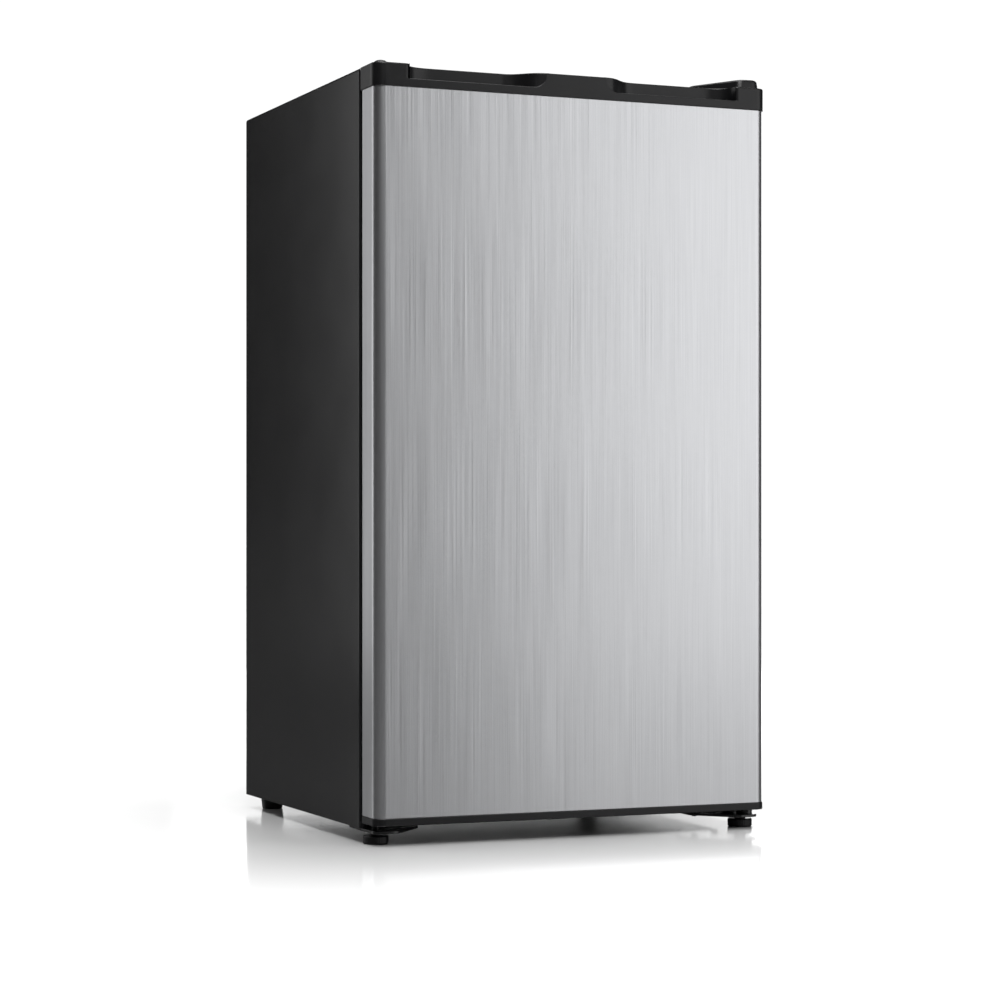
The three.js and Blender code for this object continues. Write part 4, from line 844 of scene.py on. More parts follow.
def cap_sections(x):
    """Corners (y, z) of the closed section at each x."""
    reach = abs(x)
    end = cap_high[0] - reach
    front = cap_low[1] + round_off(end, CAP_CORNER)
    rear = cap_high[1] - round_off(end, CAP_REAR_CORNER)
    top = cap_high[2] - round_off(end, CAP_EDGE)
    under = z_under + round_off(end, CAP_LOWER_EDGE)
    depth = grip_depth(x)
    window = (reach > GRIP_INNER) & (reach < GRIP_OUTER)
    lip = z_lip + round_off(reach - GRIP_INNER, GRIP_ROUND)
    lip = np.where(window, np.minimum(lip, top - NARROW), top)
    wall = front + np.where(window, np.maximum(depth, NARROW), 0)
    pocket = smooth((depth - GRIP_LIP) / GRIP_SLOPE) * window
    back_of_lip = np.minimum(front + GRIP_LIP, wall)
    floor = lip - pocket * (lip - z_floor)
    tub = under - pocket * (z_under - cap_low[2])
    tub_front = np.maximum(front + 3 * mm, back_of_lip - GRIP_WALL + 0.5 * mm)
    tub_rear = np.maximum(wall + GRIP_WALL, tub_front + mm)
    past_grip = np.where(reach > GRIP_OUTER, reach - GRIP_OUTER, BOSS_EDGE)
    upper = front + round_off(past_grip, BOSS_EDGE)
    turns = (0, math.pi / 4, math.pi / 2)
    edge = [(upper + CAP_EDGE * (1 - math.sin(a)), top - CAP_EDGE * (1 - math.cos(a))) for a in turns]
    plain = edge + [(upper, z_lip), (front, z_lip)]
    pocketed = [(wall, top), (wall, floor), (back_of_lip, floor), (back_of_lip, lip), (front, lip)]
    points = [(rear, under), (rear, top)]
    points += [tuple(np.where(window, b, a) for a, b in zip(*pair)) for pair in zip(plain, pocketed)]
    points += [(front, under), (tub_front, under), (tub_front, tub), (tub_rear, tub), (tub_rear, under)]
    return np.stack([np.stack(point, -1) for point in points], 1)


print("a section has", cap_sections(np.zeros(1)).shape[1], "corners")

# %% [markdown]
# ## Grip cap: the loft
#
# Sections stand close together where the form changes quickly: at the ends of the grips, at the rounded
# edge of each outer block, and at the corners of the cap.


# %% Loft of the grip cap
def cap_places():
    """Places along the width, close together where the grips begin and end and at the cap's corners."""
    inner = GRIP_INNER + GRIP_SWEEP_IN * np.linspace(0, 1, 40) ** 1.6
    outer = GRIP_OUTER - GRIP_SWEEP_OUT * np.linspace(0, 1, 26) ** 2
    corner = cap_high[0] - CAP_CORNER * np.linspace(0, 1, 16) ** 2
    boss = GRIP_OUTER + BOSS_EDGE * np.linspace(0.005, 1, 14) ** 2
    edges = [place + side * 0.02 * mm for place in (GRIP_INNER, GRIP_OUTER) for side in (-1, 1)]
    between = np.linspace(85, 160, 6) * mm
    half = np.unique(np.concatenate([[0], inner, outer, boss, corner, edges, between]))
    return np.concatenate([-half[::-1], half[1:]])


x_cap = cap_places()
grip_cap = shell(lifted(rounded(cap_sections(x_cap), CAP_RADII, 5), x_cap, "x"))
piece("grip_cap", "door_top_cap", "black_plastic", [grip_cap], crease=38)
print("the cap is a loft of", len(x_cap), "sections")

# %% [markdown]
# ## Lower cap
#
# A thin cap closes the door's lower edge. Two round sockets stand up from it, one for the lower hinge pin
# and a spare one for a door hung on the other side.

# %% Lower cap
SOCKET_RADIUS = 8 * mm
low, high = corners("door_bottom_cap")
z_edge = skin_low[2] - GAP
cap_corners = [CAP_CORNER, CAP_CORNER, 3 * mm, 3 * mm]
lower_cap = slab(from_above(low, high), cap_corners, low[2], z_edge, 0.9 * mm, steps=10)
button_low, button_high = corners("hinge_hole_plug")
axis_x, axis_y, _ = middle_of(button_low, button_high)  # of the spare hinge, on the left
socket = [(0, z_edge - mm), (SOCKET_RADIUS, z_edge - mm), (SOCKET_RADIUS, high[2]), (0, high[2])]
sockets = [turned((side * axis_x, axis_y, 0), socket) for side in (1, -1)]
piece("lower_door_cap", "door_bottom_cap", "black_plastic", [lower_cap, *sockets])

# %% [markdown]
# ## Button
#
# A domed button covers the spare hinge bore. It is turned: a stem in the bore, a flat underside, and an
# ellipse for the dome.

# %% Button
STEM_RADIUS = 3.6 * mm
rise = button_high[2] - cap_high[2]
r_button = (button_high[0] - button_low[0]) / 2
z_button = cap_high[2] + GAP
t = np.linspace(0, math.pi / 2, 12)
dome = np.stack([r_button * np.cos(t), cap_high[2] + rise * (0.3 + 0.7 * np.sin(t))], -1)
stem = [(0, button_low[2]), (STEM_RADIUS, button_low[2]), (STEM_RADIUS, z_button)]
stem += [(r_button - 0.4 * mm, z_button), (r_button, z_button + 0.3 * mm)]
button = turned((axis_x, axis_y, 0), np.vstack([stem, dome[:-1], [(0, dome[-1, 1])]]))
piece("hinge_bore_button", "hinge_hole_plug", "black_plastic", [button])

# %% [markdown]
# ## Gasket
#
# The gasket is a soft frame round the inside of the door. Its broad foot lies on the door, and two ribs
# stand up from it towards the cabinet. The same ribbed section is carried round the whole frame.

# %% Gasket
low, high = corners("door_gasket")
ribs = [(0, 0.15), (1.5, 0), (10.5, 0), (12, 0.15), (12, 0.45), (11, 0.62), (9.5, 0.62), (9, 1.0)]
ribs += [(7.6, 1.0), (7.2, 0.7), (5, 0.7), (4.6, 1.0), (3, 1.0), (2.5, 0.62), (1, 0.62), (0, 0.45)]
section = [(inwards * mm, low[1] + share * (high[1] - low[1])) for inwards, share in ribs]
seal = moulded(from_the_front(low, high), 6 * mm, rounded(section, 0.25 * mm, 3), "y", ends="joined")
piece("magnetic_gasket", "door_gasket", "gasket_rubber", [seal])

# %% [markdown]
# ## Cabin liner
#
# The white inside is one sheet of plastic, drawn by vacuum over a mould, so every corner inside is round.
# Seen from the side it steps up over the compressor at the back. That side view is carried across the
# width, and it shrinks by a quarter circle where it meets the side walls. Only the inner face is made, and
# a Solidify modifier gives the sheet its thickness.

# %% Cabin liner
LINER = 2 * mm
LINER_CORNER = 15 * mm
low, high = corners("inner_liner")
cabin_half = corners("thermostat_housing")[1][0] + GAP
cabin_floor = low[2] + LINER
cabin_top = corners("evaporator_box")[1][2] + 9 * mm
cabin_back = high[1] - LINER
hump_front = corners("crisper_drawer")[1][1] + LINER_CORNER
hump_top = corners("crisper_cover_glass")[0][2] - 42 * mm


def cabin():
    """Side view (y, z) from the sill back over the step and up to the roof of the mouth, for each x."""
    edge = np.linspace(0, 1, 9) ** 2 * LINER_CORNER
    x = np.concatenate([-cabin_half + edge, np.linspace(-0.1, 0.1, 3), cabin_half - edge[::-1]])
    shrink = round_off(cabin_half - abs(x), LINER_CORNER)[:, None]
    front = np.full_like(shrink, low[1] + 0.4 * mm)
    hump, back = hump_front - shrink, cabin_back - shrink
    y = np.hstack([front, hump, hump, back, back, front])
    floor, step, roof = cabin_floor + shrink, hump_top + shrink, cabin_top - shrink
    z = np.hstack([floor, floor, step, step, roof, roof])
    radii = np.array([0, 1, 1, 1, 1, 0]) * LINER_CORNER
    return shell(lifted(rounded(np.stack([y, z], -1), radii, 8), x, "x"), around=False)


tub = piece("vacuum_formed_cabin", "inner_liner", "white_plastic", [cabin()], inward=True)
wall = tub.modifiers.new("sheet_thickness", "SOLIDIFY")
wall.thickness = LINER
wall.offset = -1

# %% [markdown]
# ## Lip of the cabin
#
# At the front the sheet turns outwards and covers the edge of the foam. This lip runs up both sides and over
# the top, and the floor stays free of it, so that the drawer passes. It is the arch of the cabinet again,
# with a smaller section.

# %% Lip of the cabin
LIP_DEPTH = 4 * mm
LIP_BEND = 2 * mm
LIP_SHEET = 1.4 * mm
wide = high[0] - cabin_half
y_inside = low[1] + LIP_SHEET
lip_section = [(0, low[1]), (wide + 0.4 * mm, low[1]), (wide + 0.4 * mm, low[1] + LIP_DEPTH)]
lip_section += [(wide - mm, low[1] + LIP_DEPTH), (wide - mm, y_inside), (0, y_inside)]
lip_section = rounded(lip_section, [0, LIP_BEND, 0, 0, 0.6 * mm, 0], 6)
lip = arch(lip_section, high[0], high[2], low[2], 5 * mm)
piece("cabin_lip", "inner_liner", "white_plastic", [lip], replaced=False)

# %% [markdown]
# ## Shelf ribs
#
# Ribs moulded into the side walls carry the shelves, at one even spacing, so a shelf can move up or down.
# The highest pair carries the drip tray. Their edges are round because the sheet is drawn over the mould.

# %% Shelf ribs
RIB_PITCH = 40 * mm
RIB = 8 * mm
rib_levels = [corners("drip_tray")[0][2]]
first, last = corners("crisper_cover_glass")[0][2], corners("upper_shelf_glass")[0][2]
rib_levels += list(np.arange(first, last + RIB_PITCH / 2, RIB_PITCH))
trim_low, trim_high = corners("upper_shelf_trim")
rib_front, rib_out = trim_low[1] - 10 * mm, trim_high[0] + 2 * mm
ribs = []
for side in (-1, 1):
    for level in rib_levels:
        inner, outer = sorted((side * rib_out, side * (cabin_half + 0.5 * mm)))
        outline = rectangle(inner, outer, rib_front, cabin_back - 20 * mm)
        ribs.append(slab(outline, 5 * mm, level - GAP - RIB, level - GAP, 2.4 * mm))
piece("moulded_shelf_ribs", "inner_liner", "white_plastic", ribs, replaced=False)
print(len(ribs), "shelf ribs")

# %% [markdown]
# ## Ice box
#
# The evaporator is a box rolled from aluminium sheet with round corners and an open front. A white frame
# trims its mouth.

# %% Ice box
low, high = corners("evaporator_box")
ice_box = tray(from_the_front(low, high), 10 * mm, high[1], low[1], 3 * mm, 2 * mm, "y", steps=8)
piece("rolled_evaporator", "evaporator_box", "rolled_aluminium", [ice_box])

FRAME_WIDE = 12 * mm
low, high = corners("freezer_frame")
section = [(0, high[1]), (0, low[1]), (FRAME_WIDE, low[1]), (FRAME_WIDE, high[1])]
section = rounded(section, np.array([0.3, 2, 2, 0.3]) * mm, 5)
surround = moulded(from_the_front(low, high), 6 * mm, section, "y", ends="joined")
piece("ice_box_surround", "freezer_frame", "white_plastic", [surround])

# %% [markdown]
# ## Flap and drip tray
#
# The flap is a frosted moulding. A shallow groove runs round inside its border and stiffens it, and the
# flat middle lies a little further back than the border. Melted ice drips into the clear tray below, whose
# wall leans out for the mould.

# %% Flap and drip tray
low, high = corners("freezer_flap")
steps = [(8, 1), (0, 1), (0, 0), (12, 0), (14, 0.16), (20, 0.16), (22, 0.05), (30, 0.05)]
section = [(inwards * mm, low[1] + share * (high[1] - low[1])) for inwards, share in steps]
section = rounded(section, np.array([0, 3, 3, 1, 1, 1, 1, 0]) * mm, 6)
flap = moulded(from_the_front(low, high), 6 * mm, section, "y", steps=8)
piece("ice_box_flap", "freezer_flap", "frosted_plastic", [flap])

low, high = corners("drip_tray")
melt_tray = tray(from_above(low, high), 8 * mm, low[2], high[2], 2 * mm, 2.5 * mm, draft=2 * mm, steps=8)
piece("clear_drip_tray", "drip_tray", "clear_plastic", [melt_tray])

# %% [markdown]
# ## Shelves
#
# Glass shelves have ground edges, 0.7 mm round, and a white rail along the front. The rail's solid already
# has the right form and only gets softer edges.

# %% Shelves
GROUND_EDGE = 0.7 * mm
for name in ("upper_shelf", "lower_shelf", "crisper_cover"):
    low, high = corners(name + "_glass")
    plate = slab(from_above(low, high), 4 * mm, low[2], high[2], GROUND_EDGE)
    piece(name + "_plate", name + "_glass", "shelf_glass", [plate])
    eased(name + "_trim", "white_plastic", 0.5 * mm)

# %% [markdown]
# ## Crisper
#
# The crisper is a deep clear drawer that narrows a little towards its floor, so that it leaves its mould.
# Its handle is a shelf under the rim, turned down along its free edge.

# %% Crisper
PULL_HALF = 60 * mm
PULL_DROP = 12 * mm
PULL_BELOW_RIM = 19 * mm
low, high = corners("crisper_drawer")
drawer_front = low[1] + 10 * mm
outline = rectangle(low[0], high[0], drawer_front, high[1])
drawer = tray(outline, 12 * mm, low[2], high[2], 2.2 * mm, 5 * mm, draft=5 * mm, steps=8)


def pull(y0, y1, top):
    """Handle: a shelf turned down along its free edge, drawn across the width."""
    section = [(y1, top), (y0, top), (y0, top - PULL_DROP), (y0 + 2 * mm, top - PULL_DROP)]
    section += [(y0 + 2 * mm, top - 3 * mm), (y1, top - 3 * mm)]
    section = rounded(section, np.array([0, 3, 0.9, 0.9, 1.5, 0]) * mm, 5)
    return drawn_out(section, np.linspace(-PULL_HALF, PULL_HALF, 9), "x")


drawer_pull = pull(low[1], drawer_front + 1.2 * mm, high[2] - PULL_BELOW_RIM)
piece("clear_crisper", "crisper_drawer", "clear_plastic", [drawer, drawer_pull])

# %% [markdown]
# ## Control box and knob
#
# The thermostat and the lamp share a white box on the side wall. The knob has a finely ribbed rim for the
# fingers and a raised pointer.

# %% Control box and knob
eased("thermostat_housing", "white_plastic", 1.2 * mm, 3)
eased("lamp_cover", "frosted_plastic", 1.2 * mm, 3)
eased("switch_housing", "white_plastic", 1.0 * mm, 3)

KNOB_RIBS = 24
SHAFT = 3 * mm
low, high = corners("thermostat_dial")
dial_x, _, dial_z = middle_of(low, high, "y")
dial_r = (high[0] - low[0]) / 2
front = low[1] + 1.2 * mm
back = front + 9 * mm
knob_line = [(0, front), (dial_r - 0.4 * mm, front), (dial_r - 0.2 * mm, back), (SHAFT, back)]
knob_line += [(SHAFT, high[1]), (0, high[1])]
knob_line = rounded(knob_line, np.array([0, 1.6, 0.8, 0.5, 0.5, 0]) * mm, 6)
knob = turned(middle_of(low, high, "y"), knob_line, "y", 144, 0.014, KNOB_RIBS)
outline = rectangle(dial_x - 0.9 * mm, dial_x + 0.9 * mm, dial_z + 2 * mm, dial_z + dial_r - 2 * mm)
pointer = slab(outline, 0.8 * mm, low[1] + 0.2 * mm, front + mm, 0.4 * mm, "y")
piece("thermostat_knob", "thermostat_dial", "white_plastic", [knob, pointer])

# %% [markdown]
# ## Switch button and bulb
#
# The door presses a round white button that switches the lamp. The bulb is a small refrigerator lamp: a
# cap, a narrow neck and a round end, turned about its length.

# %% Switch button and bulb
low, high = corners("switch_plunger")
pin_r = (high[0] - low[0]) / 2
pin_line = [(0, low[1]), (pin_r, low[1]), (pin_r, high[1]), (0, high[1])]
pin = turned(middle_of(low, high, "y"), rounded(pin_line, [0, 2 * mm, 0.4 * mm, 0], 7), "y")
piece("switch_button", "switch_plunger", "white_plastic", [pin])

low, high = corners("lamp_bulb")
bulb_r = (high[2] - low[2]) / 2
length = high[1] - low[1]
shares = [(0, 0), (0.55, 0), (0.58, 0.28), (0.72, 0.42), (1, 0.68), (0.86, 0.9), (0.45, 0.99), (0, 1)]
bulb_line = [(share * bulb_r, high[1] - along * length) for share, along in shares]
bulb_line = rounded(bulb_line, np.array([0, 0.6, 3, 6, 8, 8, 8, 0]) * mm, 6)
piece("lamp_bulb_glass", "lamp_bulb", "lamp_glass", [turned(middle_of(low, high, "y"), bulb_line, "y")])

# %% [markdown]
# ## Door liner
#
# The inside of the door is a second vacuum-formed sheet. From its flange it rises to a raised frame and
# falls to a recessed middle. Its section, from the middle to the rim and back behind, is carried round the
# outline of the door.

# %% Door liner
FLANGE_THICK = 2 * mm
DYKE_HALF = 190 * mm
DYKE_WALL = 14 * mm
RECESS = 14 * mm
TO_MIDDLE = 60 * mm
low, high = corners("door_liner")
y_edge = skin_high[1]
dyke = high[0] - DYKE_HALF
y_flange, y_dyke, y_recess = y_edge + GAP + FLANGE_THICK, high[1], y_edge - RECESS
face_line = [(0, y_edge + GAP), (0, y_flange), (dyke, y_flange), (dyke + 2 * mm, y_dyke)]
face_line += [(dyke + DYKE_WALL - 2 * mm, y_dyke), (dyke + DYKE_WALL, y_recess)]
face_line += [(dyke + TO_MIDDLE, y_recess)]
back_line = [(dyke + TO_MIDDLE, y_recess - LINER), (dyke + DYKE_WALL + LINER, y_recess - LINER)]
back_line += [(dyke + DYKE_WALL - 2 * mm, y_dyke - LINER), (dyke + 2 * mm, y_dyke - LINER)]
back_line += [(dyke + LINER, y_edge + GAP)]
line = np.array(face_line[::-1] + back_line[::-1])
line_radii = np.array([0, 8, 5, 5, 8, 0.6, 0.6, 3, 3, 3, 6, 0]) * mm
panel = moulded(from_the_front(low, high), 8 * mm, rounded(line, line_radii, 7), "y", steps=10)
piece("vacuum_formed_door_liner", "door_liner", "white_plastic", [panel])

# %% [markdown]
# ## Door racks
#
# Three racks hang in the recess of the door. A rack is a tray with a thicker rim and two ears. Each ear
# rests on a small lug of the liner, so the rack can be lifted off and washed.

# %% Door racks
RACK_WALL = 2.5 * mm
RACK_RIM = 1.4 * mm  # how far the rim stands out past the wall
RACK_CORNERS = np.array([9, 9, 16, 16]) * mm
EAR = 6 * mm  # how far an ear stands out, and how thick it and its lug are
EAR_LEVEL = 20 * mm
EAR_LONG, LUG_LONG = 17 * mm, 16 * mm
EAR_EDGE = 1.4 * mm
y_lug = y_edge + 2 * mm


def rack_body(outline, z0, z1):
    """Tray whose wall ends in a thicker rim, 8 mm high."""
    inner = RACK_WALL + RACK_RIM
    line = [(12 * mm, z0), (3 * mm, z0), (RACK_RIM, z1 - 9 * mm), (0, z1 - 8 * mm), (0, z1)]
    line += [(inner, z1), (inner + 2 * mm, z0 + RACK_WALL), (16 * mm, z0 + RACK_WALL)]
    line = rounded(line, np.array([0, 4, 1, 0.8, 1.9, 1.9, 4, 0]) * mm, 6)
    return moulded(outline, RACK_CORNERS, line, steps=9)


def small_block(x0, x1, y0, y1, z0):
    """Ear or lug: a block with round edges, between two places along x given in any order."""
    return slab(rectangle(min(x0, x1), max(x0, x1), y0, y1), 2 * mm, z0, z0 + EAR, EAR_EDGE)


lugs = []
for name in ("upper_door_rack", "middle_door_rack", "bottle_rack"):
    low, high = corners(name)
    half = high[0] - EAR
    parts = [rack_body(rectangle(-half, half, low[1], high[1]), low[2], high[2])]
    z_ear = low[2] + EAR_LEVEL
    for side in (-1, 1):
        ear = side * (half - 1.6 * mm), side * high[0], y_lug - mm, y_lug + EAR_LONG
        lug = side * (half + 0.7 * mm), side * (DYKE_HALF - DYKE_WALL + mm), y_lug, y_lug + LUG_LONG
        parts.append(small_block(*ear, z_ear))
        lugs.append(small_block(*lug, z_ear - GAP - EAR))
    piece("moulded_" + name, name, "white_plastic", parts)
piece("rack_lugs", "door_liner", "white_plastic", lugs, replaced=False)

# %% [markdown]
# ## Hinge cover
#
# A low black cover hides the upper hinge. It is a hollow moulding, so the screws have room under it: a tray
# turned over, whose top slopes down towards its inner end.

# %% Hinge cover
COVER_INNER = 0.68  # height at the inner end, as a share of the full height
low, high = corners("top_hinge_cover")
z_roof = corners("outer_shell")[1][2] + GAP
cover_outline = [(low[0] + 39 * mm, low[1]), (high[0], low[1]), (high[0], high[1]), (low[0], high[1])]
cover_outline = np.array(cover_outline + [(low[0], low[1] + 45 * mm)])
cover_radii = np.array([12, 12, 6, 9, 10]) * mm
cover = tray(cover_outline, cover_radii, high[2], z_roof, 1.5 * mm, 3.5 * mm, draft=1.5 * mm, steps=10)
points = cover[0]
share = smooth((points[:, 0] - low[0]) / (0.8 * (high[0] - low[0])))
points[:, 2] = z_roof + (points[:, 2] - z_roof) * (COVER_INNER + (1 - COVER_INNER) * share)
piece("hinge_cover", "top_hinge_cover", "black_plastic", [cover])

# %% [markdown]
# ## Brackets and screws
#
# The upper bracket with its pin is plated, and the lower ones are painted with the cabinet. Their solids
# are right already, so only the edges are broken.

# %% Brackets and screws
for name in ("top_hinge_bracket", "lower_hinge_bracket", "left_foot_bracket"):
    slot = "zinc_plated_steel" if name.startswith("top") else "cabinet_paint"
    eased(name, slot, 0.4 * mm)
for name in ("top_hinge_screw_1", "top_hinge_screw_2", "lower_hinge_screw_1", "lower_hinge_screw_2"):
    eased(name, "zinc_plated_steel", 0.2 * mm)

# %% [markdown]
# ## Feet
#
# The two front feet screw up and down to level the cabinet, and their rims are ribbed so that a hand can
# turn them. Above the pad is a collar and then the stud. The rear feet are plain moulded cups.

# %% Feet
PAD = 9.5 * mm
COLLAR, COLLAR_RADIUS = 12.4 * mm, 6.5 * mm
STUD_RADIUS = 4 * mm
PAD_RIBS = 32
for name in ("front_left_foot", "front_right_foot"):
    low, high = corners(name)
    r = (high[0] - low[0]) / 2
    pad = [(0, 0), (r - 1.4 * mm, 0), (r - 0.4 * mm, 1.2 * mm), (r - 0.2 * mm, 8 * mm)]
    pad += [(r - 1.8 * mm, PAD), (0, PAD)]
    pad = rounded(pad, np.array([0, 0.5, 0.6, 0.8, 0.8, 0]) * mm, 5)
    stud = [(0, 9 * mm), (COLLAR_RADIUS, 9 * mm), (COLLAR_RADIUS, COLLAR), (STUD_RADIUS, COLLAR)]
    stud += [(STUD_RADIUS, high[2]), (0, high[2])]
    stud = rounded(stud, np.array([0, 0.3, 0.5, 0.3, 0.8, 0]) * mm, 4)
    ribbed = turned(middle_of(low, high), pad, "z", 160, 0.012, PAD_RIBS)
    piece("levelling_" + name, name, "black_plastic", [ribbed, turned(middle_of(low, high), stud)])
for name in ("rear_left_foot", "rear_right_foot"):
    low, high = corners(name)
    r = (high[0] - low[0]) / 2
    cup = rounded([(0, 0), (r - 2 * mm, 0), (r, high[2]), (0, high[2])], [0, 1.5 * mm, 0.5 * mm, 0], 6)
    piece("moulded_" + name, name, "black_plastic", [turned(middle_of(low, high), cup)])

# %% [markdown]
# ## Compressor
#
# The compressor is two drawn steel shells welded round the middle, where the narrower upper one sits inside
# the flared rim of the lower one. Two short stubs leave it for the tubes.

# %% Compressor
POT_RADIUS = 62 * mm
SEAM_RIM, SEAM_HIGH = 2.6 * mm, 5 * mm
STUB_RADIUS, STUB_LONG = 4.5 * mm, 9 * mm
low, high = corners("compressor")
plate_low, plate_high = corners("compressor_base_plate")
pot_middle = middle_of(plate_low, plate_high)
seam = high[2] - low[2] - 53 * mm
tall = high[2] - low[2]
rim = POT_RADIUS + SEAM_RIM
pot_line = [(0, 0), (POT_RADIUS - 14 * mm, 0), (POT_RADIUS, 30 * mm), (POT_RADIUS, seam), (rim, seam)]
pot_line += [(rim, seam + SEAM_HIGH), (POT_RADIUS - 1.5 * mm, seam + SEAM_HIGH)]
pot_line += [(POT_RADIUS - 4 * mm, tall - 8 * mm), (0, tall)]
pot_radii = np.array([0, 12, 18, 1, 1.2, 1.2, 2, 26, 0]) * mm
pot = turned(pot_middle, rounded(pot_line, pot_radii, 10) + [0, low[2]], around=96)


def stub(angle, level):
    """Short tube that leaves the pot level, in the direction of an angle."""
    along = np.array([math.cos(angle), math.sin(angle), 0])
    across = np.array([-math.sin(angle), math.cos(angle), 0])
    turn = np.linspace(0, 2 * math.pi, 24, endpoint=False)[:, None]
    ring = STUB_RADIUS * (np.cos(turn) * across + np.sin(turn) * [0, 0, 1])
    end = POT_RADIUS + STUB_LONG
    steps = np.array([POT_RADIUS - 3 * mm, end - 0.6 * mm, end, end])
    width = np.array([1, 1, 0.8, 0.55])
    centre = pot_middle + [0, 0, level]
    return shell(centre + along * steps[:, None, None] + ring * width[:, None, None])


stubs = [stub(0.35, low[2] + 58 * mm), stub(2.2, low[2] + 30 * mm)]
piece("compressor_pot", "compressor", "compressor_paint", [pot, *stubs])

# %% [markdown]
# ## Rubber mounts
#
# The compressor's plate rides on four rubber mounts. Each is a turned block with a narrow waist, and the
# plate sits in the waist.

# %% Rubber mounts
WAIST_RADIUS = 6 * mm
z0, z1 = plate_low[2] - GAP, plate_high[2] + GAP
for name in ("front_left", "front_right", "rear_left", "rear_right"):
    node = "compressor_mount_" + name
    low, high = corners(node)
    line = [(0, low[2]), (10 * mm, low[2]), (9.4 * mm, low[2] + 5 * mm), (8.5 * mm, z0), (WAIST_RADIUS, z0)]
    line += [(WAIST_RADIUS, z1), (8.5 * mm, z1), (7.5 * mm, high[2]), (0, high[2])]
    grommet = rounded(line, np.array([0, 1.2, 1, 1, 0.2, 0.2, 1, 1.6, 0]) * mm, 5)
    piece("rubber_mount_" + name, node, "rubber", [turned(middle_of(low, high), grommet)])

# %% [markdown]
# ## Rest of the compressor bay
#
# The compressor's heat dries the water in the tray above it. Copper tubes join it to the cold side. They are
# copies of their solids, and one level of subdivision makes them rounder.

# %% Rest of the compressor bay
low, high = corners("evaporation_tray")
water = tray(from_above(low, high), 14 * mm, low[2], high[2], 2 * mm, 3 * mm, draft=1.2 * mm, steps=9)
piece("heat_tray", "evaporation_tray", "black_plastic", [water])
eased("terminal_cover", "black_plastic", 1.2 * mm, 3)
eased("cord_gland", "black_plastic", 0.8 * mm, 3)
eased("compressor_base_plate", "compressor_paint", 0.6 * mm)
eased("compressor_pan", "zinc_plated_steel", 0.5 * mm)
eased("base_panel", "zinc_plated_steel", 0.3 * mm)
eased("front_crossbar", "cabinet_paint", 0.4 * mm)
for name in ("suction_tube", "discharge_tube", "filter_drier"):
    pipe = eased(name, "copper", 0, crease=70)
    finer = pipe.modifiers.new("rounder", "SUBSURF")
    finer.levels = 1
    finer.render_levels = 1
    pipe.modifiers.move(1, 0)

# %% [markdown]
# ## Floor
#
# A catalogue picture has a white floor that runs on into a white background, with a short dark shadow and a
# mirror image that fades out. The floor is a mix of matt white and mirror, and the mirror's share falls to
# nothing over 0.8 m from the refrigerator.

# %% Floor
FLOOR_HALF = 60
MIRROR_SHARE = 0.66
MIRROR_REACH = 0.8
floor_mesh = bpy.data.meshes.new("studio_floor")
floor_corners = rectangle(-FLOOR_HALF, FLOOR_HALF, -FLOOR_HALF, FLOOR_HALF).tolist()
floor_mesh.from_pydata([(x, y, 0) for x, y in floor_corners], [], [(0, 1, 2, 3)])
floor = bpy.data.objects.new("studio_floor", floor_mesh)
bpy.context.scene.collection.objects.link(floor)
surface = bpy.data.materials.new("studio_floor")
surface.use_nodes = True
tree = surface.node_tree
tree.nodes.clear()
matt = tree.nodes.new("ShaderNodeBsdfDiffuse")
matt.inputs["Color"].default_value = (0.95, 0.95, 0.95, 1)
mirror = tree.nodes.new("ShaderNodeBsdfGlossy")
mirror.inputs["Roughness"].default_value = 0.1
place = tree.nodes.new("ShaderNodeTexCoord")
size = tree.nodes.new("ShaderNodeVectorMath")
size.operation = "ABSOLUTE"
past = tree.nodes.new("ShaderNodeVectorMath")
past.operation = "SUBTRACT"
past.inputs[1].default_value = (design_high.x, design_high.y, 0)
outside = tree.nodes.new("ShaderNodeVectorMath")
outside.operation = "MAXIMUM"
distance = tree.nodes.new("ShaderNodeVectorMath")
distance.operation = "LENGTH"
fade = tree.nodes.new("ShaderNodeMapRange")
for name, number in (("From Max", MIRROR_REACH), ("To Min", MIRROR_SHARE), ("To Max", 0.0)):
    fade.inputs[name].default_value = number
polished = tree.nodes.new("ShaderNodeMixShader")
tree.links.new(place.outputs["Object"], size.inputs[0])
tree.links.new(size.outputs["Vector"], past.inputs[0])
tree.links.new(past.outputs["Vector"], outside.inputs[0])
tree.links.new(outside.outputs["Vector"], distance.inputs[0])
tree.links.new(distance.outputs["Value"], fade.inputs["Value"])
tree.links.new(fade.outputs["Result"], polished.inputs["Fac"])
tree.links.new(matt.outputs["BSDF"], polished.inputs[1])
tree.links.new(mirror.outputs["BSDF"], polished.inputs[2])
print("the floor's mirror image fades over", MIRROR_REACH, "m")

# %% [markdown]
# ## What the refrigerator sees of the floor
#
# A floor as white as the camera sees it would throw far too much light up the steel. Every ray that doesn't
# come from the camera meets a darker floor, as if dark polished board lay there.

# %% Floor for other rays
cloth = tree.nodes.new("ShaderNodeBsdfDiffuse")
cloth.inputs["Color"].default_value = (0.1, 0.1, 0.1, 1)
dark = tree.nodes.new("ShaderNodeMixShader")
dark.inputs["Fac"].default_value = 0.6
seen = tree.nodes.new("ShaderNodeMixShader")
path = tree.nodes.new("ShaderNodeLightPath")
output = tree.nodes.new("ShaderNodeOutputMaterial")
tree.links.new(cloth.outputs["BSDF"], dark.inputs[1])
tree.links.new(mirror.outputs["BSDF"], dark.inputs[2])
tree.links.new(path.outputs["Is Camera Ray"], seen.inputs["Fac"])
tree.links.new(dark.outputs["Shader"], seen.inputs[1])
tree.links.new(polished.outputs["Shader"], seen.inputs[2])
tree.links.new(seen.outputs["Shader"], output.inputs["Surface"])
floor_mesh.materials.append(surface)
floor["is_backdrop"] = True
print("floor material has", len(tree.nodes), "nodes")

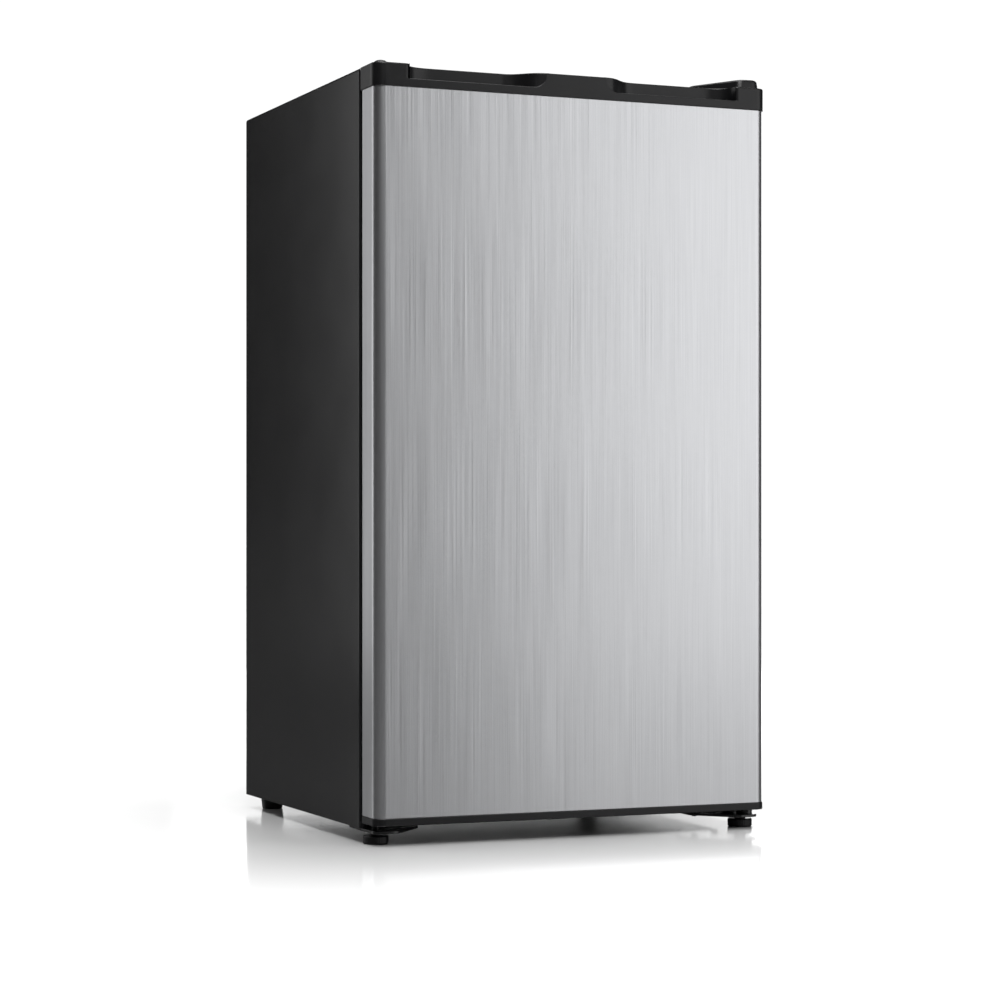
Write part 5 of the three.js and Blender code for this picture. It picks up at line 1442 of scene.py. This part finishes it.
# %% [markdown]
# ## Lights
#
# A wide panel to the right of the front gives the steel its gradient, because the brushed sheet spreads the
# panel's left edge over the whole width of the door. A panel behind on the left draws the bright line down
# the door's bent side and a soft sheen on the black paint. A high panel in front lights the open cabinet. A
# sun from straight above keeps the floor white everywhere and adds little to upright faces.

# %% Lights
MIDDLE = (0, 0, 0.45)
SUN_POWER = 3.35
SUN_SPREAD = math.radians(50)


def panel_light(name, place, target, width, height, power):
    """Soft rectangular light that faces a point."""
    light = bpy.data.lights.new(name, "AREA")
    light.shape = "RECTANGLE"
    light.size = width
    light.size_y = height
    light.energy = power
    made = bpy.data.objects.new(name, light)
    direction = np.array(target) - np.array(place)
    yaw = math.atan2(direction[1], direction[0]) - math.pi / 2
    pitch = math.atan2(direction[2], math.hypot(direction[0], direction[1])) + math.pi / 2
    made.location = place
    made.rotation_euler = (pitch, 0, yaw)
    made.visible_camera = False
    bpy.context.scene.collection.objects.link(made)
    print(name, power, "W")


panel_light("right_front_panel", (1.6, -1.83, 0.92), (0.1, -0.23, 0.55), 2.1, 2.0, 18)
panel_light("left_rear_panel", (-1.44, 1.3, 0.95), (-0.24, -0.2, 0.6), 1.14, 1.8, 7)
panel_light("high_front_panel", (-0.4, -2.3, 2.6), MIDDLE, 1.6, 1.0, 60)
panel_light("rear_panel", (1.3, 2.8, 1.3), MIDDLE, 1.8, 1.8, 26)

sun = bpy.data.lights.new("overhead_sun", "SUN")
sun.energy = SUN_POWER
sun.angle = SUN_SPREAD
sun_object = bpy.data.objects.new("overhead_sun", sun)
bpy.context.scene.collection.objects.link(sun_object)

# %% [markdown]
# ## Background
#
# The camera sees plain white. The refrigerator and the floor see a dark room with one white wall, the one
# behind the refrigerator. The polished floor mirrors that wall and stays white beside the refrigerator, and
# the rest of the room leaves the black side black. The wall's edge is soft: its strength rises with the
# cosine of the angle to the camera's direction.

# %% Background
WHITE = 1.05  # strength of the white parts
ROOM = 0.03  # strength of the dark room
WALL_EDGE = (0.88, 0.965)  # cosines between which the wall's edge rises
world = bpy.data.worlds.new("studio")
bpy.context.scene.world = world
world.use_nodes = True
tree = world.node_tree
tree.nodes.clear()
backdrop = tree.nodes.new("ShaderNodeBackground")
backdrop.inputs["Color"].default_value = (1, 1, 1, 1)
backdrop.inputs["Strength"].default_value = WHITE
dim = tree.nodes.new("ShaderNodeBackground")
direction = tree.nodes.new("ShaderNodeTexCoord")
behind = tree.nodes.new("ShaderNodeVectorMath")
behind.operation = "DOT_PRODUCT"
behind.inputs[1].default_value = (math.sin(CAMERA_YAW), math.cos(CAMERA_YAW), 0)
white = tree.nodes.new("ShaderNodeMapRange")
white.interpolation_type = "SMOOTHSTEP"
limits = (("From Min", WALL_EDGE[0]), ("From Max", WALL_EDGE[1]), ("To Min", ROOM), ("To Max", WHITE))
for name, number in limits:
    white.inputs[name].default_value = number
tree.links.new(direction.outputs["Generated"], behind.inputs[0])
tree.links.new(behind.outputs["Value"], white.inputs["Value"])
tree.links.new(white.outputs["Result"], dim.inputs["Strength"])
path = tree.nodes.new("ShaderNodeLightPath")
either = tree.nodes.new("ShaderNodeMixShader")
output = tree.nodes.new("ShaderNodeOutputWorld")
tree.links.new(path.outputs["Is Camera Ray"], either.inputs["Fac"])
tree.links.new(dim.outputs["Background"], either.inputs[1])
tree.links.new(backdrop.outputs["Background"], either.inputs[2])
tree.links.new(either.outputs["Shader"], output.inputs["Surface"])
bpy.context.scene.view_settings.view_transform = "Standard"
print("background nodes:", len(tree.nodes))

# %% [markdown]
# ## Size
#
# The finished surfaces must fill the same box as the design. The difference between the two sizes is
# printed.

# %% Size and finish
visual_low, visual_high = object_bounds()
difference = (visual_high - visual_low) - (design_high - design_low)
print("size difference", [round(length, 5) for length in difference])
